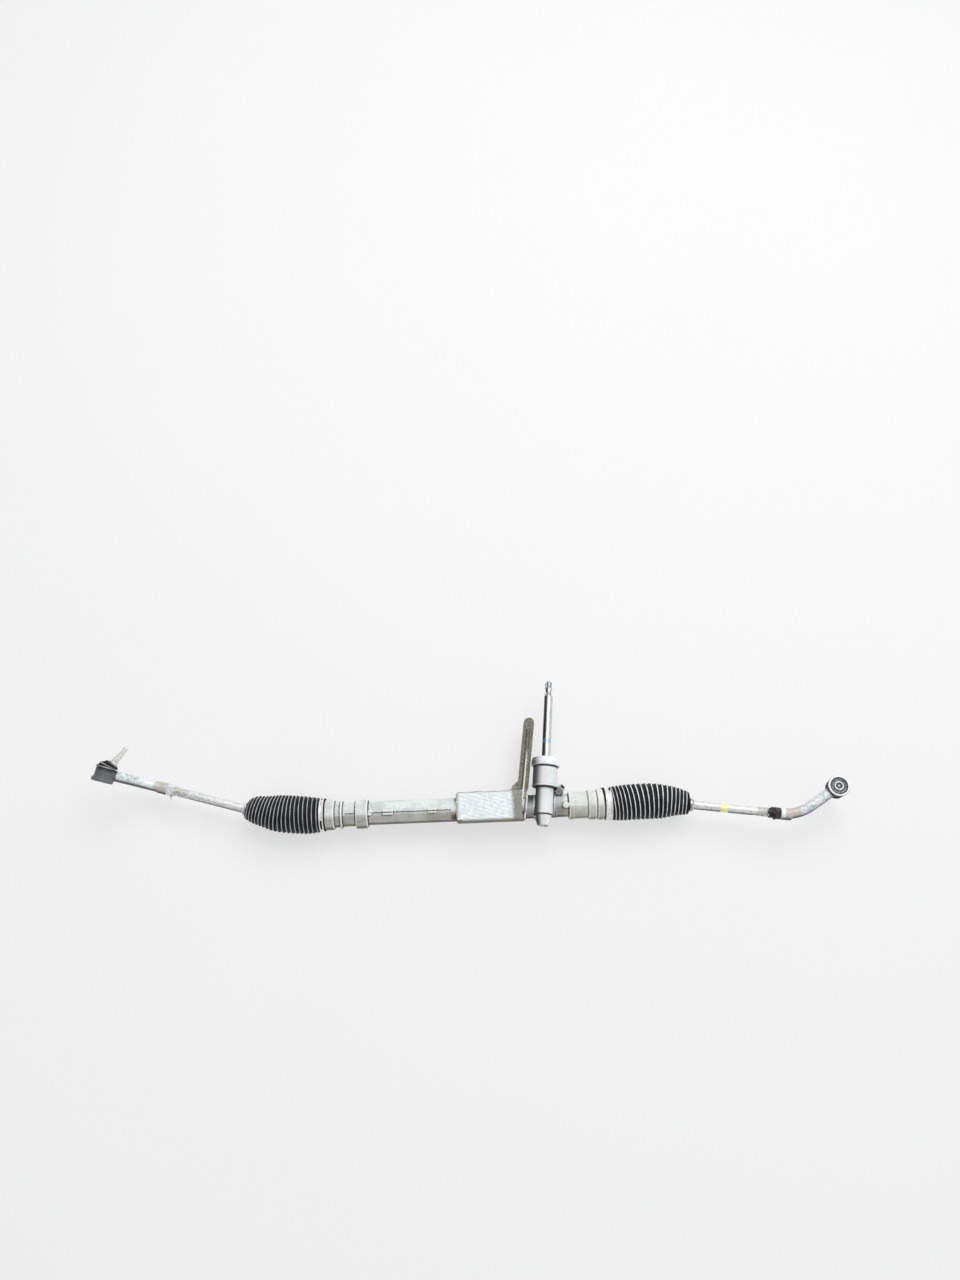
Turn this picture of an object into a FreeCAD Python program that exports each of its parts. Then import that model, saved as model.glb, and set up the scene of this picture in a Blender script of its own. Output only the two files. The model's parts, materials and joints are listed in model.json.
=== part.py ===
import FreeCAD, Part
import math
import operator
import os

import Sketcher

# Manual rack-and-pinion steering gear of a small car, with its tie rods and ball joints.
#
# The rack slides along X, with +X towards the pinion end.  The gear lies on its back: +Z is up and
# the pinion shaft points along +Y, leaning a little towards +X.  The origin is the centre of the
# saddle seat, the turned recess in the casing that a clamp holds, on the rack's axis.
#
# Every turned piece is drawn as an outline of (distance along its axis, radius) in its own frame,
# whose X axis is the turning axis, and its Placement then puts it in the gear.

SIZES = {
    # gear pair: normal module and tooth angles, and where the teeth meet
    "pinion_x": 319,
    "module": 2.0,
    "pinion_teeth": 7,
    "pressure_angle": 20,
    "helix_angle": 20,
    "profile_shift": 0.55,
    "pinion_tip_factor": 1.3,
    "pinion_root_radius": 6.05,
    "pinion_lean": 6,
    "tooth_face": 26,
    "rack_datum": 7.0,
    "rack_addendum": 2.0,
    "rack_dedendum": 1.75,
    "backlash": 0.09,
    "rack_flat_half": 84,
    # rack bar and its travel stops
    "rack_radius": 12,
    "left_ball_x": -121,
    "right_ball_x": 511,
    "socket_back": 25,
    "washer_gap": 1.5,
    "rack_thread_radius": 7,
    "rack_thread_depth": 20,
    # running and sitting clearances
    "running_gap": 0.05,
    "ball_gap": 0.03,
    "seat_gap": 0.02,
    # inner ball joints
    "inner_ball_radius": 13,
    "inner_seat_radius": 15,
    "inner_socket_radius": 17,
    "inner_socket_nose": 8.6,
    "inner_seat_opening": 50,
    "inner_socket_opening": 56,
    "inner_neck_radius": 5.5,
    # tie rods, measured from the inner ball's centre
    "rod_radius": 7,
    "rod_neck_end": 30,
    "rod_shoulder": 35,
    "rod_thread_radius": 6,
    "rod_thread_start": 168,
    "rod_flats_start": 150,
    "rod_flats_end": 162,
    "left_reach": 189,
    "right_reach": 195,
    "rod_grip": 14,
    "rod_groove_radius": 6.4,
    "rod_groove_start": 47,
    "rod_groove_end": 56,
    "left_heading": 163.7,
    "right_heading": -9,
    "left_rise": 0,
    "right_rise": 5,
    "left_roll": -97,
    "right_roll": 0,
    # lock nuts
    "nut_across": 17,
    "nut_length": 12.5,
    # outer ends: a bent forging with a ball joint at its eye
    "forging_radius": 8.5,
    "barrel_radius": 9.6,
    "barrel_length": 16,
    "bend_radius": 75,
    "bend_angle": 40,
    "bend_tail": 54,
    "eye_radius": 17.3,
    "eye_neck_radius": 14,
    "eye_top": 14.2,
    "eye_bottom": 11.2,
    "eye_mouth_radius": 12.5,
    "outer_ball_radius": 9.5,
    "outer_seat_radius": 11.3,
    "outer_seat_opening": 38,
    "outer_socket_opening": 60,
    "eye_cap_radius": 13.6,
    "eye_cap_start": 11.6,
    "eye_cap_end": 13.2,
    "eye_cap_dimple": 4.5,
    "left_stud_tilt": 25,
    "right_stud_tilt": 0,
    # ball studs, measured from the ball's centre
    "stud_neck_radius": 4.8,
    "stud_collar_radius": 6.9,
    "stud_collar_start": 21.2,
    "stud_collar_end": 23.2,
    "stud_taper_radius": 5.9,
    "stud_taper_end": 37.5,
    "stud_thread_radius": 4,
    "stud_end": 53,
    # outer dust boots
    "boot_top_radius": 15.5,
    "boot_belly_radius": 16.2,
    "boot_lip_radius": 7.5,
    "boot_wall": 1.4,
    "boot_start": 8.7,
    "boot_belly": 15.4,
    "boot_lip_start": 19,
    "boot_end": 20.9,
    "boot_ring_radius": 16.7,
    "boot_ring_length": 2.2,
    "lip_ring_thickness": 1.1,
    # casing
    "edge": 0.8,
    "block_from": 175,
    "block_to": 283,
    "block_front": -22,
    "block_back": 26,
    "block_bottom": -9,
    "block_top": 19.8,
    "block_rounding": 1.5,
    "block_corner": 5,
    "label_inset": 0.9,
    "label_thickness": 0.6,
    "label_end_gap": 13,
    "arm_root_x": 282,
    "arm_lean": 8.4,
    "arm_root_half": 8.8,
    "arm_tip_half": 8.7,
    "arm_front": -21,
    "arm_tip": 150,
    "arm_bottom": -9,
    "arm_top": 15,
    "arm_ridge_half": 1.6,
    "arm_ridge_top": 17.6,
    "arm_flare": 15,
    "arm_hole_radius": 5.5,
    "arm_hole_from_tip": 14,
    "arm_hole_z": 3,
    "yoke_boss_radius": 17.5,
    "yoke_boss_bottom": -33,
    "yoke_bore_radius": 13,
    "gusset_thickness": 10,
    "gusset_z": 8,
    "gusset_reach": 36,
    "gusset_height": 40,
    "boss_depth": 6,
    "boss_y": -2.8,
    "round_boss_radius": 4.6,
    "round_boss_x": 34.4,
    "pad_boss_from": 55.7,
    "pad_boss_to": 72,
    "pad_boss_half": 4.5,
    "pin_boss_from": 129.4,
    "pin_boss_to": 142.6,
    "pin_boss_half": 4.2,
    "boss_top": 20.6,
    "right_boss_x": 354.4,
    "right_boss_radius": 5.2,
    "right_boss_top": 22.2,
    "vent_x": 343,
    "vent_y": 20,
    "vent_z": 12,
    "vent_boss_radius": 5.6,
    "vent_boss_length": 15,
    "vent_plug_radius": 4.2,
    "vent_plug_depth": 5,
    # pinion tower, measured along the pinion's axis
    "upper_bore_radius": 17.5,
    "chamber_radius": 11,
    "needle_bore_radius": 7.6,
    "needle_bore_start": -31,
    "needle_bore_end": -15,
    "bearing_start": 44,
    "bearing_width": 11,
    "ring_nut_length": 5,
    "seal_start": 62,
    "seal_length": 7,
    "tower_top": 74,
    "cover_radius": 23.5,
    "cover_start": 63,
    "cover_top": 78,
    "cover_hole_radius": 8.6,
    # upper ball bearing
    "bearing_pitch": 12.5,
    "bearing_ball_radius": 3,
    "bearing_ball_count": 9,
    "inner_race_radius": 10.4,
    "outer_race_bore": 14.6,
    "cage_inner_radius": 11.6,
    "cage_outer_radius": 13.4,
    "cage_half": 4,
    # lower needle bearing
    "journal_radius": 4.5,
    "roller_radius": 1.1,
    "roller_pitch": 5.65,
    "roller_count": 12,
    "roller_length": 9,
    "cup_bore": 6.8,
    "cup_start": -28,
    "cup_end": -16,
    # pinion shaft, measured along its axis
    "pinion_foot": -28.5,
    "pinion_shoulder_radius": 9,
    "bearing_seat_radius": 7.5,
    "seal_journal_radius": 7.3,
    "seal_journal_end": 80,
    "shaft_radius": 7,
    "circlip_radius": 9.6,
    "circlip_length": 1.4,
    "spline_start": 184,
    "spline_radius": 6.6,
    "spline_depth": 0.7,
    "spline_count": 24,
    "clamp_groove_start": 190,
    "clamp_groove_end": 199,
    "clamp_groove_radius": 5.3,
    "pinion_tip": 210,
    "pinion_tip_radius": 4.5,
    # rack support yoke, under the rack
    "yoke_top": -5,
    "yoke_bottom": -24,
    "yoke_pocket_radius": 8,
    "yoke_pocket_top": -16,
    "liner_thickness": 0.8,
    "liner_length": 21,
    "liner_drop": -7.5,
    "plug_top": -27,
    "plug_pocket_top": -30,
    "plug_bottom": -37.2,
    "plug_key_across": 12,
    "plug_key_depth": 4,
    "plug_nut_across": 38,
    "plug_nut_length": 4.5,
    "spring_radius": 6,
    "spring_wire_radius": 1.1,
    "spring_turns": 4,
    # bushing, clamps and bellows
    "bushing_radius": 15.5,
    "bushing_from": -32,
    "bushing_to": -9,
    "cuff_radius": 25.6,
    "clamp_radius": 27.2,
    "clamp_lug_width": 6,
    "clamp_lug_height": 5,
    "clip_wire_radius": 1.0,
    "bellows_wall": 3,
    "bellows_neck_radius": 9,
    "bellows_shoulder_radius": 15.5,
    "bellows_belly_radius": 29.5,
    "bellows_shoulder": 42,
    "bellows_turn": 22,
}

# Steps of the casing's tube, left to right: name, start, end, radius.
TUBE_STEPS = [
    ("left_spigot", -52, -39, 22.5),
    ("left_ring", -39, -24, 24.9),
    ("left_neck", -24, -14, 21),
    ("seat_rib", -14, -11, 24),
    ("saddle_seat", -11, 11, 20),
    ("seat_ring", 11, 30.7, 24.35),
    ("tube", 30.7, 340, 19.2),
    ("right_neck", 340, 360, 18.6),
    ("right_rib", 360, 368.5, 23),
    ("right_window", 368.5, 392, 22),
    ("inner_ring", 392, 404.6, 24.5),
    ("ring_groove", 404.6, 407, 22.9),
    ("right_ring", 407, 417.3, 25.4),
    ("right_spigot", 417.3, 431, 22.5),
]

# Steps of the bore along the rack: sockets enter the wide ends at full lock.
BORE_STEPS = [
    ("left_pocket", -52, -33, 19),
    ("bushing_bore", -33, -8, 15.52),
    ("rack_bore", -8, 423, 13.5),
    ("right_pocket", 423, 431, 19),
]

# Steps of the tower along the pinion's axis.
TOWER_STEPS = [
    ("tower_lower", -16, 28, 14.75),
    ("tower_lip", 28, 30.6, 21.4),
    ("tower_upper", 30.6, 74, 20.4),
]

OPERATIONS = {"+": operator.add, "-": operator.sub, "*": operator.mul, "/": operator.truediv}


class Size:
    """A number together with the sheet formula that gives it."""

    def __init__(self, value, formula=None):
        self.value = float(value)
        self.formula = formula if formula else repr(float(value))

    def combine(self, sign, other):
        value = OPERATIONS[sign](self.value, other.value)
        return Size(value, f"({self.formula} {sign} {other.formula})")

    def __add__(self, other):
        return self.combine("+", as_size(other))

    def __radd__(self, other):
        return as_size(other).combine("+", self)

    def __sub__(self, other):
        return self.combine("-", as_size(other))

    def __rsub__(self, other):
        return as_size(other).combine("-", self)

    def __mul__(self, other):
        return self.combine("*", as_size(other))

    def __rmul__(self, other):
        return as_size(other).combine("*", self)

    def __truediv__(self, other):
        return self.combine("/", as_size(other))

    def __neg__(self):
        return Size(0).combine("-", self)

    def cosine(self):
        return Size(math.cos(math.radians(self.value)), f"cos({self.formula} * 1 deg)")

    def sine(self):
        return Size(math.sin(math.radians(self.value)), f"sin({self.formula} * 1 deg)")


def as_size(value):
    return value if isinstance(value, Size) else Size(value)


class Sheet:
    """The spreadsheet: its cells are read as attributes, by alias."""

    def __init__(self, document, sizes):
        self.sheet = document.addObject("Spreadsheet::Sheet", "Sheet")
        self.cells = {}
        for row, (alias, value) in enumerate(sizes.items(), start=1):
            self.sheet.set(f"A{row}", alias.replace("_", " "))
            self.sheet.set(f"B{row}", str(value))
            self.sheet.setAlias(f"B{row}", alias)
            self.cells[alias] = Size(value, f"Sheet.{alias}")

    def __getattr__(self, alias):
        return self.cells[alias]

    def named(self, *words):
        """The size whose alias is these words joined, such as named("left", "reach")."""
        return self.cells["_".join(words)]


def all_sizes():
    """The sheet's whole content: SIZES, and three sizes for each step of the casing."""
    sizes = dict(SIZES)
    for name, start, end, radius in TUBE_STEPS + BORE_STEPS + TOWER_STEPS:
        sizes[f"{name}_from"] = start
        sizes[f"{name}_to"] = end
        sizes[f"{name}_radius"] = radius
    return sizes


doc = FreeCAD.newDocument("steering_gear")
S = Sheet(doc, all_sizes())
doc.recompute()

HERE = FreeCAD.Placement()
X_AXIS = FreeCAD.Vector(1, 0, 0)
Y_AXIS = FreeCAD.Vector(0, 1, 0)
Z_AXIS = FreeCAD.Vector(0, 0, 1)
ON_X_AXIS = -1
ON_Y_AXIS = -2
START, END, MIDDLE = 1, 2, 3
SMALL = 1e-9
CLOSE = 1e-4
sub_parts = []


# ---------------------------------------------------------------- placing

def shift(x=0, y=0, z=0):
    numbers = [as_size(value).value for value in (x, y, z)]
    return FreeCAD.Placement(FreeCAD.Vector(*numbers), FreeCAD.Rotation())


def turned(axis, angle):
    return FreeCAD.Placement(FreeCAD.Vector(), FreeCAD.Rotation(axis, as_size(angle).value))


def chain(*places):
    """The first place, then the next one seen from it, and so on."""
    result = FreeCAD.Placement()
    for place in places:
        result = result.multiply(place)
    return result


# ---------------------------------------------------------------- sketches

def new_body(label, place=HERE, kept=True):
    body = doc.addObject("PartDesign::Body", label)
    body.Label = label
    body.Placement = place
    if kept:
        sub_parts.append(body)
    return body


def new_sketch(body, place=HERE):
    """A sketch on the body's XY plane, moved to place."""
    sketch = body.newObject("Sketcher::SketchObject", "Outline")
    planes = [item for item in body.Origin.OriginFeatures if item.Role == "XY_Plane"]
    sketch.AttachmentSupport = (planes[0], [""])
    sketch.MapMode = "FlatFace"
    sketch.AttachmentOffset = place
    return sketch


def tie(sketch, kind, target, size):
    """Adds one constraint and binds it to the sheet."""
    index = sketch.addConstraint(Sketcher.Constraint(kind, *target, size.value))
    sketch.setExpression(f"Constraints[{index}]", size.formula)


def tie_across(sketch, edge, end, size):
    if abs(size.value) < SMALL:
        sketch.addConstraint(Sketcher.Constraint("PointOnObject", edge, end, ON_Y_AXIS))
    else:
        tie(sketch, "DistanceX", (-1, 1, edge, end), size)


def tie_up(sketch, edge, end, size):
    if abs(size.value) < SMALL:
        sketch.addConstraint(Sketcher.Constraint("PointOnObject", edge, end, ON_X_AXIS))
    else:
        tie(sketch, "DistanceY", (-1, 1, edge, end), size)


def short_arc(start, end, centre, radius):
    """An arc the short way round, and whether it runs from start to end."""
    first = math.atan2(start.y - centre.y, start.x - centre.x)
    last = math.atan2(end.y - centre.y, end.x - centre.x)
    forwards = (last - first) % (2 * math.pi) < math.pi
    if not forwards:
        first, last = last, first
    circle = Part.Circle(centre, Z_AXIS, radius)
    return Part.ArcOfCircle(circle, first, last), forwards


def draw_outline(sketch, corners):
    """A closed outline, tied to the sheet at every corner.

    A corner is (across, up), and a straight edge runs from it to the next one.  A corner
    (across, up, centre_across, centre_up, radius) starts an arc instead.
    """
    sizes = [tuple(as_size(value) for value in corner) for corner in corners]
    points = [FreeCAD.Vector(corner[0].value, corner[1].value, 0) for corner in sizes]
    edges, starts, ends = [], [], []
    for index, corner in enumerate(sizes):
        start = points[index]
        end = points[(index + 1) % len(points)]
        forwards = True
        if len(corner) == 2:
            edge = Part.LineSegment(start, end)
        else:
            centre = FreeCAD.Vector(corner[2].value, corner[3].value, 0)
            edge, forwards = short_arc(start, end, centre, corner[4].value)
        edges.append(edge)
        starts.append(START if forwards else END)
        ends.append(END if forwards else START)
    sketch.addGeometry(edges, False)
    for index in range(len(edges)):
        following = (index + 1) % len(edges)
        joint = Sketcher.Constraint("Coincident", index, ends[index], following, starts[following])
        sketch.addConstraint(joint)
    for index, corner in enumerate(sizes):
        before = sizes[index - 1]
        if len(corner) == 5:
            if len(before) == 2:
                tie(sketch, "Radius", (index,), corner[4])
            tie_across(sketch, index, MIDDLE, corner[2])
            tie_up(sketch, index, MIDDLE, corner[3])
        arc = corner if len(corner) == 5 else before
        if len(arc) == 2:
            tie_across(sketch, index, starts[index], corner[0])
            tie_up(sketch, index, starts[index], corner[1])
        elif abs(corner[1].value - arc[3].value) > abs(corner[0].value - arc[2].value):
            tie_across(sketch, index, starts[index], corner[0])
        else:
            tie_up(sketch, index, starts[index], corner[1])


def draw_circle(sketch, radius, across=0, up=0):
    across, up = as_size(across), as_size(up)
    centre = FreeCAD.Vector(across.value, up.value, 0)
    edge = sketch.addGeometry(Part.Circle(centre, Z_AXIS, as_size(radius).value), False)
    tie(sketch, "Radius", (edge,), as_size(radius))
    tie_across(sketch, edge, MIDDLE, across)
    tie_up(sketch, edge, MIDDLE, up)


def rectangle(left, right, low, high):
    return [(left, low), (right, low), (right, high), (left, high)]


def hexagon(across):
    """Corners of a hexagon, from its size across flats."""
    side = across / math.sqrt(3)
    return [(side, 0), (side / 2, across / 2), (-side / 2, across / 2),
            (-side, 0), (-side / 2, -across / 2), (side / 2, -across / 2)]


def stepped(steps, edge):
    """The outline of a turned bar with these steps, from its axis, with broken outer edges."""
    names = [step[0] for step in steps]
    corners = [(S.named(names[0], "from"), 0)]
    for index, name in enumerate(names):
        start, end = S.named(name, "from"), S.named(name, "to")
        radius = S.named(name, "radius")
        before = steps[index - 1][3] if index else 0
        after = steps[index + 1][3] if index + 1 < len(steps) else 0
        if edge and before < radius.value:
            corners += [(start, radius - edge), (start + edge, radius)]
        else:
            corners += [(start, radius)]
        if edge and after < radius.value:
            corners += [(end - edge, radius), (end, radius - edge)]
        else:
            corners += [(end, radius)]
    corners.append((S.named(names[-1], "to"), 0))
    return corners


# ---------------------------------------------------------------- features

def size_of(body):
    doc.recompute()
    return body.Shape.Volume if body.Tip else 0.0


def cut_check(body, before, name):
    after = size_of(body)
    if after > before - SMALL:
        raise RuntimeError(f"{body.Label}: {name} removes nothing")


def turn(body, draw, place=HERE, cut=False):
    """Turns an outline about its sketch's X axis, to add material or to cut it.

    draw is a list of corners, or (across, up, radius) for a round section.
    """
    before = size_of(body) if cut else 0
    sketch = new_sketch(body, place)
    if isinstance(draw, list):
        draw_outline(sketch, draw)
    else:
        draw_circle(sketch, draw[2], draw[0], draw[1])
    feature = body.newObject("PartDesign::Groove" if cut else "PartDesign::Revolution", "Turning")
    feature.Profile = sketch
    feature.ReferenceAxis = (sketch, ["H_Axis"])
    feature.Angle = 360
    if cut:
        cut_check(body, before, "a groove")
    return feature


def extrude(body, draw, length, place=HERE, cut=False):
    """Extrudes a sketch along its normal, to add material or to cut it.

    draw is a list of corners, or a radius for a round outline.
    """
    before = size_of(body) if cut else 0
    sketch = new_sketch(body, place)
    if isinstance(draw, list):
        draw_outline(sketch, draw)
    else:
        draw_circle(sketch, draw)
    feature = body.newObject("PartDesign::Pocket" if cut else "PartDesign::Pad", "Extrusion")
    feature.Profile = sketch
    feature.setExpression("Length", as_size(length).formula)
    feature.Length = as_size(length).value
    if cut:
        feature.Reversed = True
        cut_check(body, before, "a pocket")
    return feature


def around(body, feature, sketch, count):
    """Repeats a feature around its sketch's X axis."""
    pattern = body.newObject("PartDesign::PolarPattern", "Around")
    pattern.Originals = [feature]
    pattern.Axis = (sketch, ["H_Axis"])
    pattern.Angle = 360
    pattern.Occurrences = int(count.value)
    pattern.setExpression("Occurrences", count.formula)
    body.Tip = pattern


def ring(label, start, end, inner, outer, place=HERE):
    body = new_body(label, place)
    turn(body, [(start, inner), (end, inner), (end, outer), (start, outer)])
    return body


def soft_tube(label, stations, wall, place=HERE):
    """A hollow skin through round stations, each (place, outer radius), open at both ends."""
    body = new_body(label, place)
    for kind, inset in (("PartDesign::AdditiveLoft", Size(0)), ("PartDesign::SubtractiveLoft", wall)):
        sections = []
        for frame, radius in stations:
            sketch = new_sketch(body, frame)
            draw_circle(sketch, radius - inset)
            sections.append(sketch)
        loft = body.newObject(kind, "Skin")
        loft.Profile = sections[0]
        loft.Sections = sections[1:]
        loft.Ruled = True
    return body


def compound(label, items, place=HERE):
    group = doc.addObject("Part::Compound", label)
    group.Label = label
    group.Links = items
    group.Placement = place
    sub_parts.append(group)
    return group


# ---------------------------------------------------------------- frames of the moving pieces

def pinion_height():
    """Height of the pinion's axis: the shifted pitch circle rolls above the rack's datum."""
    rolling_radius = S.module / 2 * S.pinion_teeth / S.helix_angle.cosine()
    return S.rack_datum + S.profile_shift * S.module + rolling_radius


def pinion_frame():
    """X along the pinion shaft, Z up, origin where the shaft passes over the rack."""
    return chain(shift(S.pinion_x, 0, pinion_height()), turned(Z_AXIS, 90 - S.pinion_lean))


def seat_frame(side):
    """Origin at the inner ball, X outwards along the rod as seen from above."""
    return chain(shift(S.named(side, "ball_x")), turned(Z_AXIS, S.named(side, "heading")))


def rod_frame(side):
    return chain(seat_frame(side), turned(Y_AXIS, -S.named(side, "rise")))


def forging_frame(side):
    """Origin at the lock nut's outer face; the bend lies in XY and the stud points along -Z."""
    return chain(rod_frame(side), shift(S.named(side, "reach")), turned(X_AXIS, S.named(side, "roll")))


def bend_sign(side):
    return 1 if side == "right" else -1


def eye_reach():
    """How far outwards the eye lies from the lock nut, along the rod."""
    return S.bend_radius * S.bend_angle.sine() + S.bend_tail * S.bend_angle.cosine()


def eye_offset():
    """How far the bend carries the eye off the rod's line."""
    return S.bend_radius * (1 - S.bend_angle.cosine()) + S.bend_tail * S.bend_angle.sine()


def eye_frame(side, tilt=0):
    """Origin at the outer ball, X along the stud, towards its thread."""
    place = shift(eye_reach(), bend_sign(side) * eye_offset())
    return chain(forging_frame(side), place, turned(Y_AXIS, 90 + as_size(tilt)))


# ---------------------------------------------------------------- casing

def make_casing():
    body = new_body("rack_housing")
    turn(body, stepped(TUBE_STEPS, S.edge))
    tower = pinion_frame()
    foot, foot_radius = S.needle_bore_start - 4, S.needle_bore_radius + 1
    cone = [(foot, 0), (foot, foot_radius), (foot + 2, foot_radius + 1.6),
            (S.tower_lower_from, S.tower_lower_radius - 1.2), (S.tower_lower_from, 0)]
    turn(body, cone, tower)
    turn(body, stepped(TOWER_STEPS, S.edge), tower)
    extrude(body, S.yoke_boss_radius, -S.yoke_boss_bottom, shift(S.pinion_x, 0, S.yoke_boss_bottom))
    add_block_and_arm(body)
    add_small_bosses(body)
    cut_bores(body, tower)


def add_block_and_arm(body):
    """The flat-topped block on the tube, and the mounting arm that grows from its right end."""
    corner = S.block_corner
    left, right = S.block_from, S.block_to
    front, back = S.block_front, S.block_back
    block = [
        (left + corner, front), (right, front), (right, back),
        (left + corner, back, left + corner, back - corner, corner),
        (left, back - corner), (left, front + corner, left + corner, front + corner, corner)]
    extrude(body, block, S.block_top - S.block_bottom, shift(z=S.block_bottom))
    round_edges(body, S.block_rounding, lambda point: abs(point.z - S.block_top.value) < CLOSE)
    along = chain(shift(S.arm_root_x), turned(Z_AXIS, -S.arm_lean))
    tip_centre = S.arm_tip - S.arm_tip_half
    arm = [
        (-S.arm_root_half, S.arm_front), (S.arm_root_half, S.arm_front), (S.arm_root_half, 30),
        (S.arm_tip_half, tip_centre, 0, tip_centre, S.arm_tip_half),
        (0, S.arm_tip, 0, tip_centre, S.arm_tip_half),
        (-S.arm_tip_half, tip_centre), (-S.arm_root_half, S.block_back + S.arm_flare),
        (-S.arm_root_half - S.arm_flare, S.block_back - 1), (-S.arm_root_half - S.arm_flare, 0)]
    extrude(body, arm, S.arm_top - S.arm_bottom, chain(along, shift(z=S.arm_bottom)))
    ridge = rectangle(-S.arm_ridge_half, S.arm_ridge_half, S.arm_front, tip_centre - 12)
    extrude(body, ridge, S.arm_ridge_top, along)
    across = chain(along, shift(-2 * S.arm_root_half, S.arm_tip - S.arm_hole_from_tip, S.arm_hole_z))
    hole_place = chain(across, turned(Y_AXIS, 90))
    extrude(body, S.arm_hole_radius, 4 * S.arm_root_half, hole_place, cut=True)


def add_small_bosses(body):
    """Ejector pads and bosses along the parting line, the tower's gusset and the vent boss."""
    for x, radius, top in ((S.round_boss_x, S.round_boss_radius, S.boss_top),
                           (S.right_boss_x, S.right_boss_radius, S.right_boss_top)):
        extrude(body, radius, S.boss_depth, shift(x, S.boss_y, top - S.boss_depth))
    for left, right, half in ((S.pad_boss_from, S.pad_boss_to, S.pad_boss_half),
                              (S.pin_boss_from, S.pin_boss_to, S.pin_boss_half)):
        outline = rectangle(left, right, -half, half)
        extrude(body, outline, S.boss_depth, shift(0, S.boss_y, S.boss_top - S.boss_depth))
    reach, height = S.gusset_reach, S.gusset_height
    gusset = [(0, 10), (reach, 10), (reach - 2, 19), (reach - 13, height - 7), (0, height)]
    gusset_place = shift(S.pinion_x, 0, S.gusset_z - S.gusset_thickness / 2)
    extrude(body, gusset, S.gusset_thickness, gusset_place)
    extrude(body, S.vent_boss_radius, S.vent_boss_length, vent_frame())


def vent_frame():
    """Z along the vent boss, which points up, outwards and to the right."""
    tilt = chain(turned(Z_AXIS, 40), turned(Y_AXIS, 45))
    return chain(shift(S.vent_x, S.vent_y, S.vent_z), tilt)


def cut_bores(body, tower):
    turn(body, stepped(BORE_STEPS, 0), cut=True)
    bores = [
        (S.needle_bore_start - 5, 0), (S.needle_bore_start - 5, S.needle_bore_radius),
        (S.needle_bore_end, S.needle_bore_radius), (S.needle_bore_end, S.chamber_radius),
        (S.bearing_start, S.chamber_radius), (S.bearing_start, S.upper_bore_radius),
        (S.tower_top + 1, S.upper_bore_radius), (S.tower_top + 1, 0)]
    turn(body, bores, tower, cut=True)
    extrude(body, S.yoke_bore_radius, 8 - S.yoke_boss_bottom, shift(S.pinion_x, 0, S.yoke_boss_bottom - 8),
            cut=True)
    drilling = chain(vent_frame(), shift(z=S.vent_boss_length - S.vent_plug_depth - 3))
    extrude(body, S.vent_plug_radius, S.vent_plug_depth + 4, drilling, cut=True)


def round_edges(body, radius, wanted):
    """Fillets each edge of the body so far whose middle is wanted."""
    doc.recompute()
    base = body.Tip
    shape = base.Shape
    names = []
    for index, edge in enumerate(shape.Edges, start=1):
        middle = edge.valueAt((edge.FirstParameter + edge.LastParameter) / 2)
        if wanted(middle):
            names.append(f"Edge{index}")
    fillet = body.newObject("PartDesign::Fillet", "Rounding")
    fillet.Base = (base, names)
    fillet.Radius = radius.value
    fillet.setExpression("Radius", radius.formula)
    doc.recompute()


def make_label():
    """A blank label on the block's flat top."""
    body = new_body("blank_label")
    inset, corner = S.label_inset, S.block_corner - S.label_inset
    left, right = S.block_from + inset, S.block_to - S.label_end_gap
    front, back = S.block_front + inset, S.block_back - inset
    outline = [
        (left + corner, front), (right, front), (right, back),
        (left + corner, back, left + corner, back - corner, corner),
        (left, back - corner), (left, front + corner, left + corner, front + corner, corner)]
    extrude(body, outline, S.label_thickness, shift(z=S.block_top))


# ---------------------------------------------------------------- rack

def tooth_angle():
    """Angle of the rack's teeth from square across the bar."""
    return S.helix_angle - S.pinion_lean


def make_rack():
    body = new_body("rack_bar")
    left = S.left_ball_x + S.socket_back + S.washer_gap
    right = S.right_ball_x - S.socket_back - S.washer_gap
    radius, edge = S.rack_radius, S.edge
    turn(body, [(left, 0), (left, radius - edge), (left + edge, radius),
                (right - edge, radius), (right, radius - edge), (right, 0)])
    hole, depth = S.rack_thread_radius, S.rack_thread_depth
    turn(body, [(left - 1, 0), (left - 1, hole), (left + depth, hole), (left + depth + 3, 0)], cut=True)
    turn(body, [(right + 1, 0), (right + 1, hole), (right - depth, hole), (right - depth - 3, 0)], cut=True)
    tip = S.rack_datum + S.rack_addendum
    half = S.rack_flat_half
    flat = rectangle(S.pinion_x - half, S.pinion_x + half, -radius - 1, radius + 1)
    extrude(body, flat, radius, shift(z=tip), cut=True)
    add_rack_teeth(body)


def add_rack_teeth(body):
    """Cuts one slanted gap in its own normal section, and repeats it along the bar."""
    slope = math.tan(math.radians(S.pressure_angle.value))
    half_gap = S.module * math.pi / 4 + S.backlash / 2
    low = S.rack_datum - S.rack_dedendum
    high = S.rack_datum + S.rack_addendum + 1
    low_half = half_gap - S.rack_dedendum * slope
    high_half = half_gap + (S.rack_addendum + 1) * slope
    gap = [(-low_half, low), (low_half, low), (high_half, high), (-high_half, high)]
    before = size_of(body)
    reach = 2 * S.rack_radius + 8
    pitch = S.module * math.pi / tooth_angle().cosine()
    gaps_each_way = 12
    start = chain(
        shift(S.pinion_x - pitch * gaps_each_way), turned(Z_AXIS, tooth_angle()),
        turned(X_AXIS, 90), shift(z=-reach / 2))
    sketch = new_sketch(body, start)
    draw_outline(sketch, gap)
    pocket = body.newObject("PartDesign::Pocket", "Gap")
    pocket.Profile = sketch
    pocket.setExpression("Length", reach.formula)
    pocket.Reversed = True
    cut_check(body, before, "the tooth gap")
    pattern = body.newObject("PartDesign::LinearPattern", "Teeth")
    pattern.Originals = [pocket]
    x_axis = [item for item in body.Origin.OriginFeatures if item.Role == "X_Axis"][0]
    pattern.Direction = (x_axis, [""])
    pattern.Length = (pitch * 2 * gaps_each_way).value
    pattern.setExpression("Length", (pitch * 2 * gaps_each_way).formula)
    pattern.Occurrences = 2 * gaps_each_way + 1
    body.Tip = pattern


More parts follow.
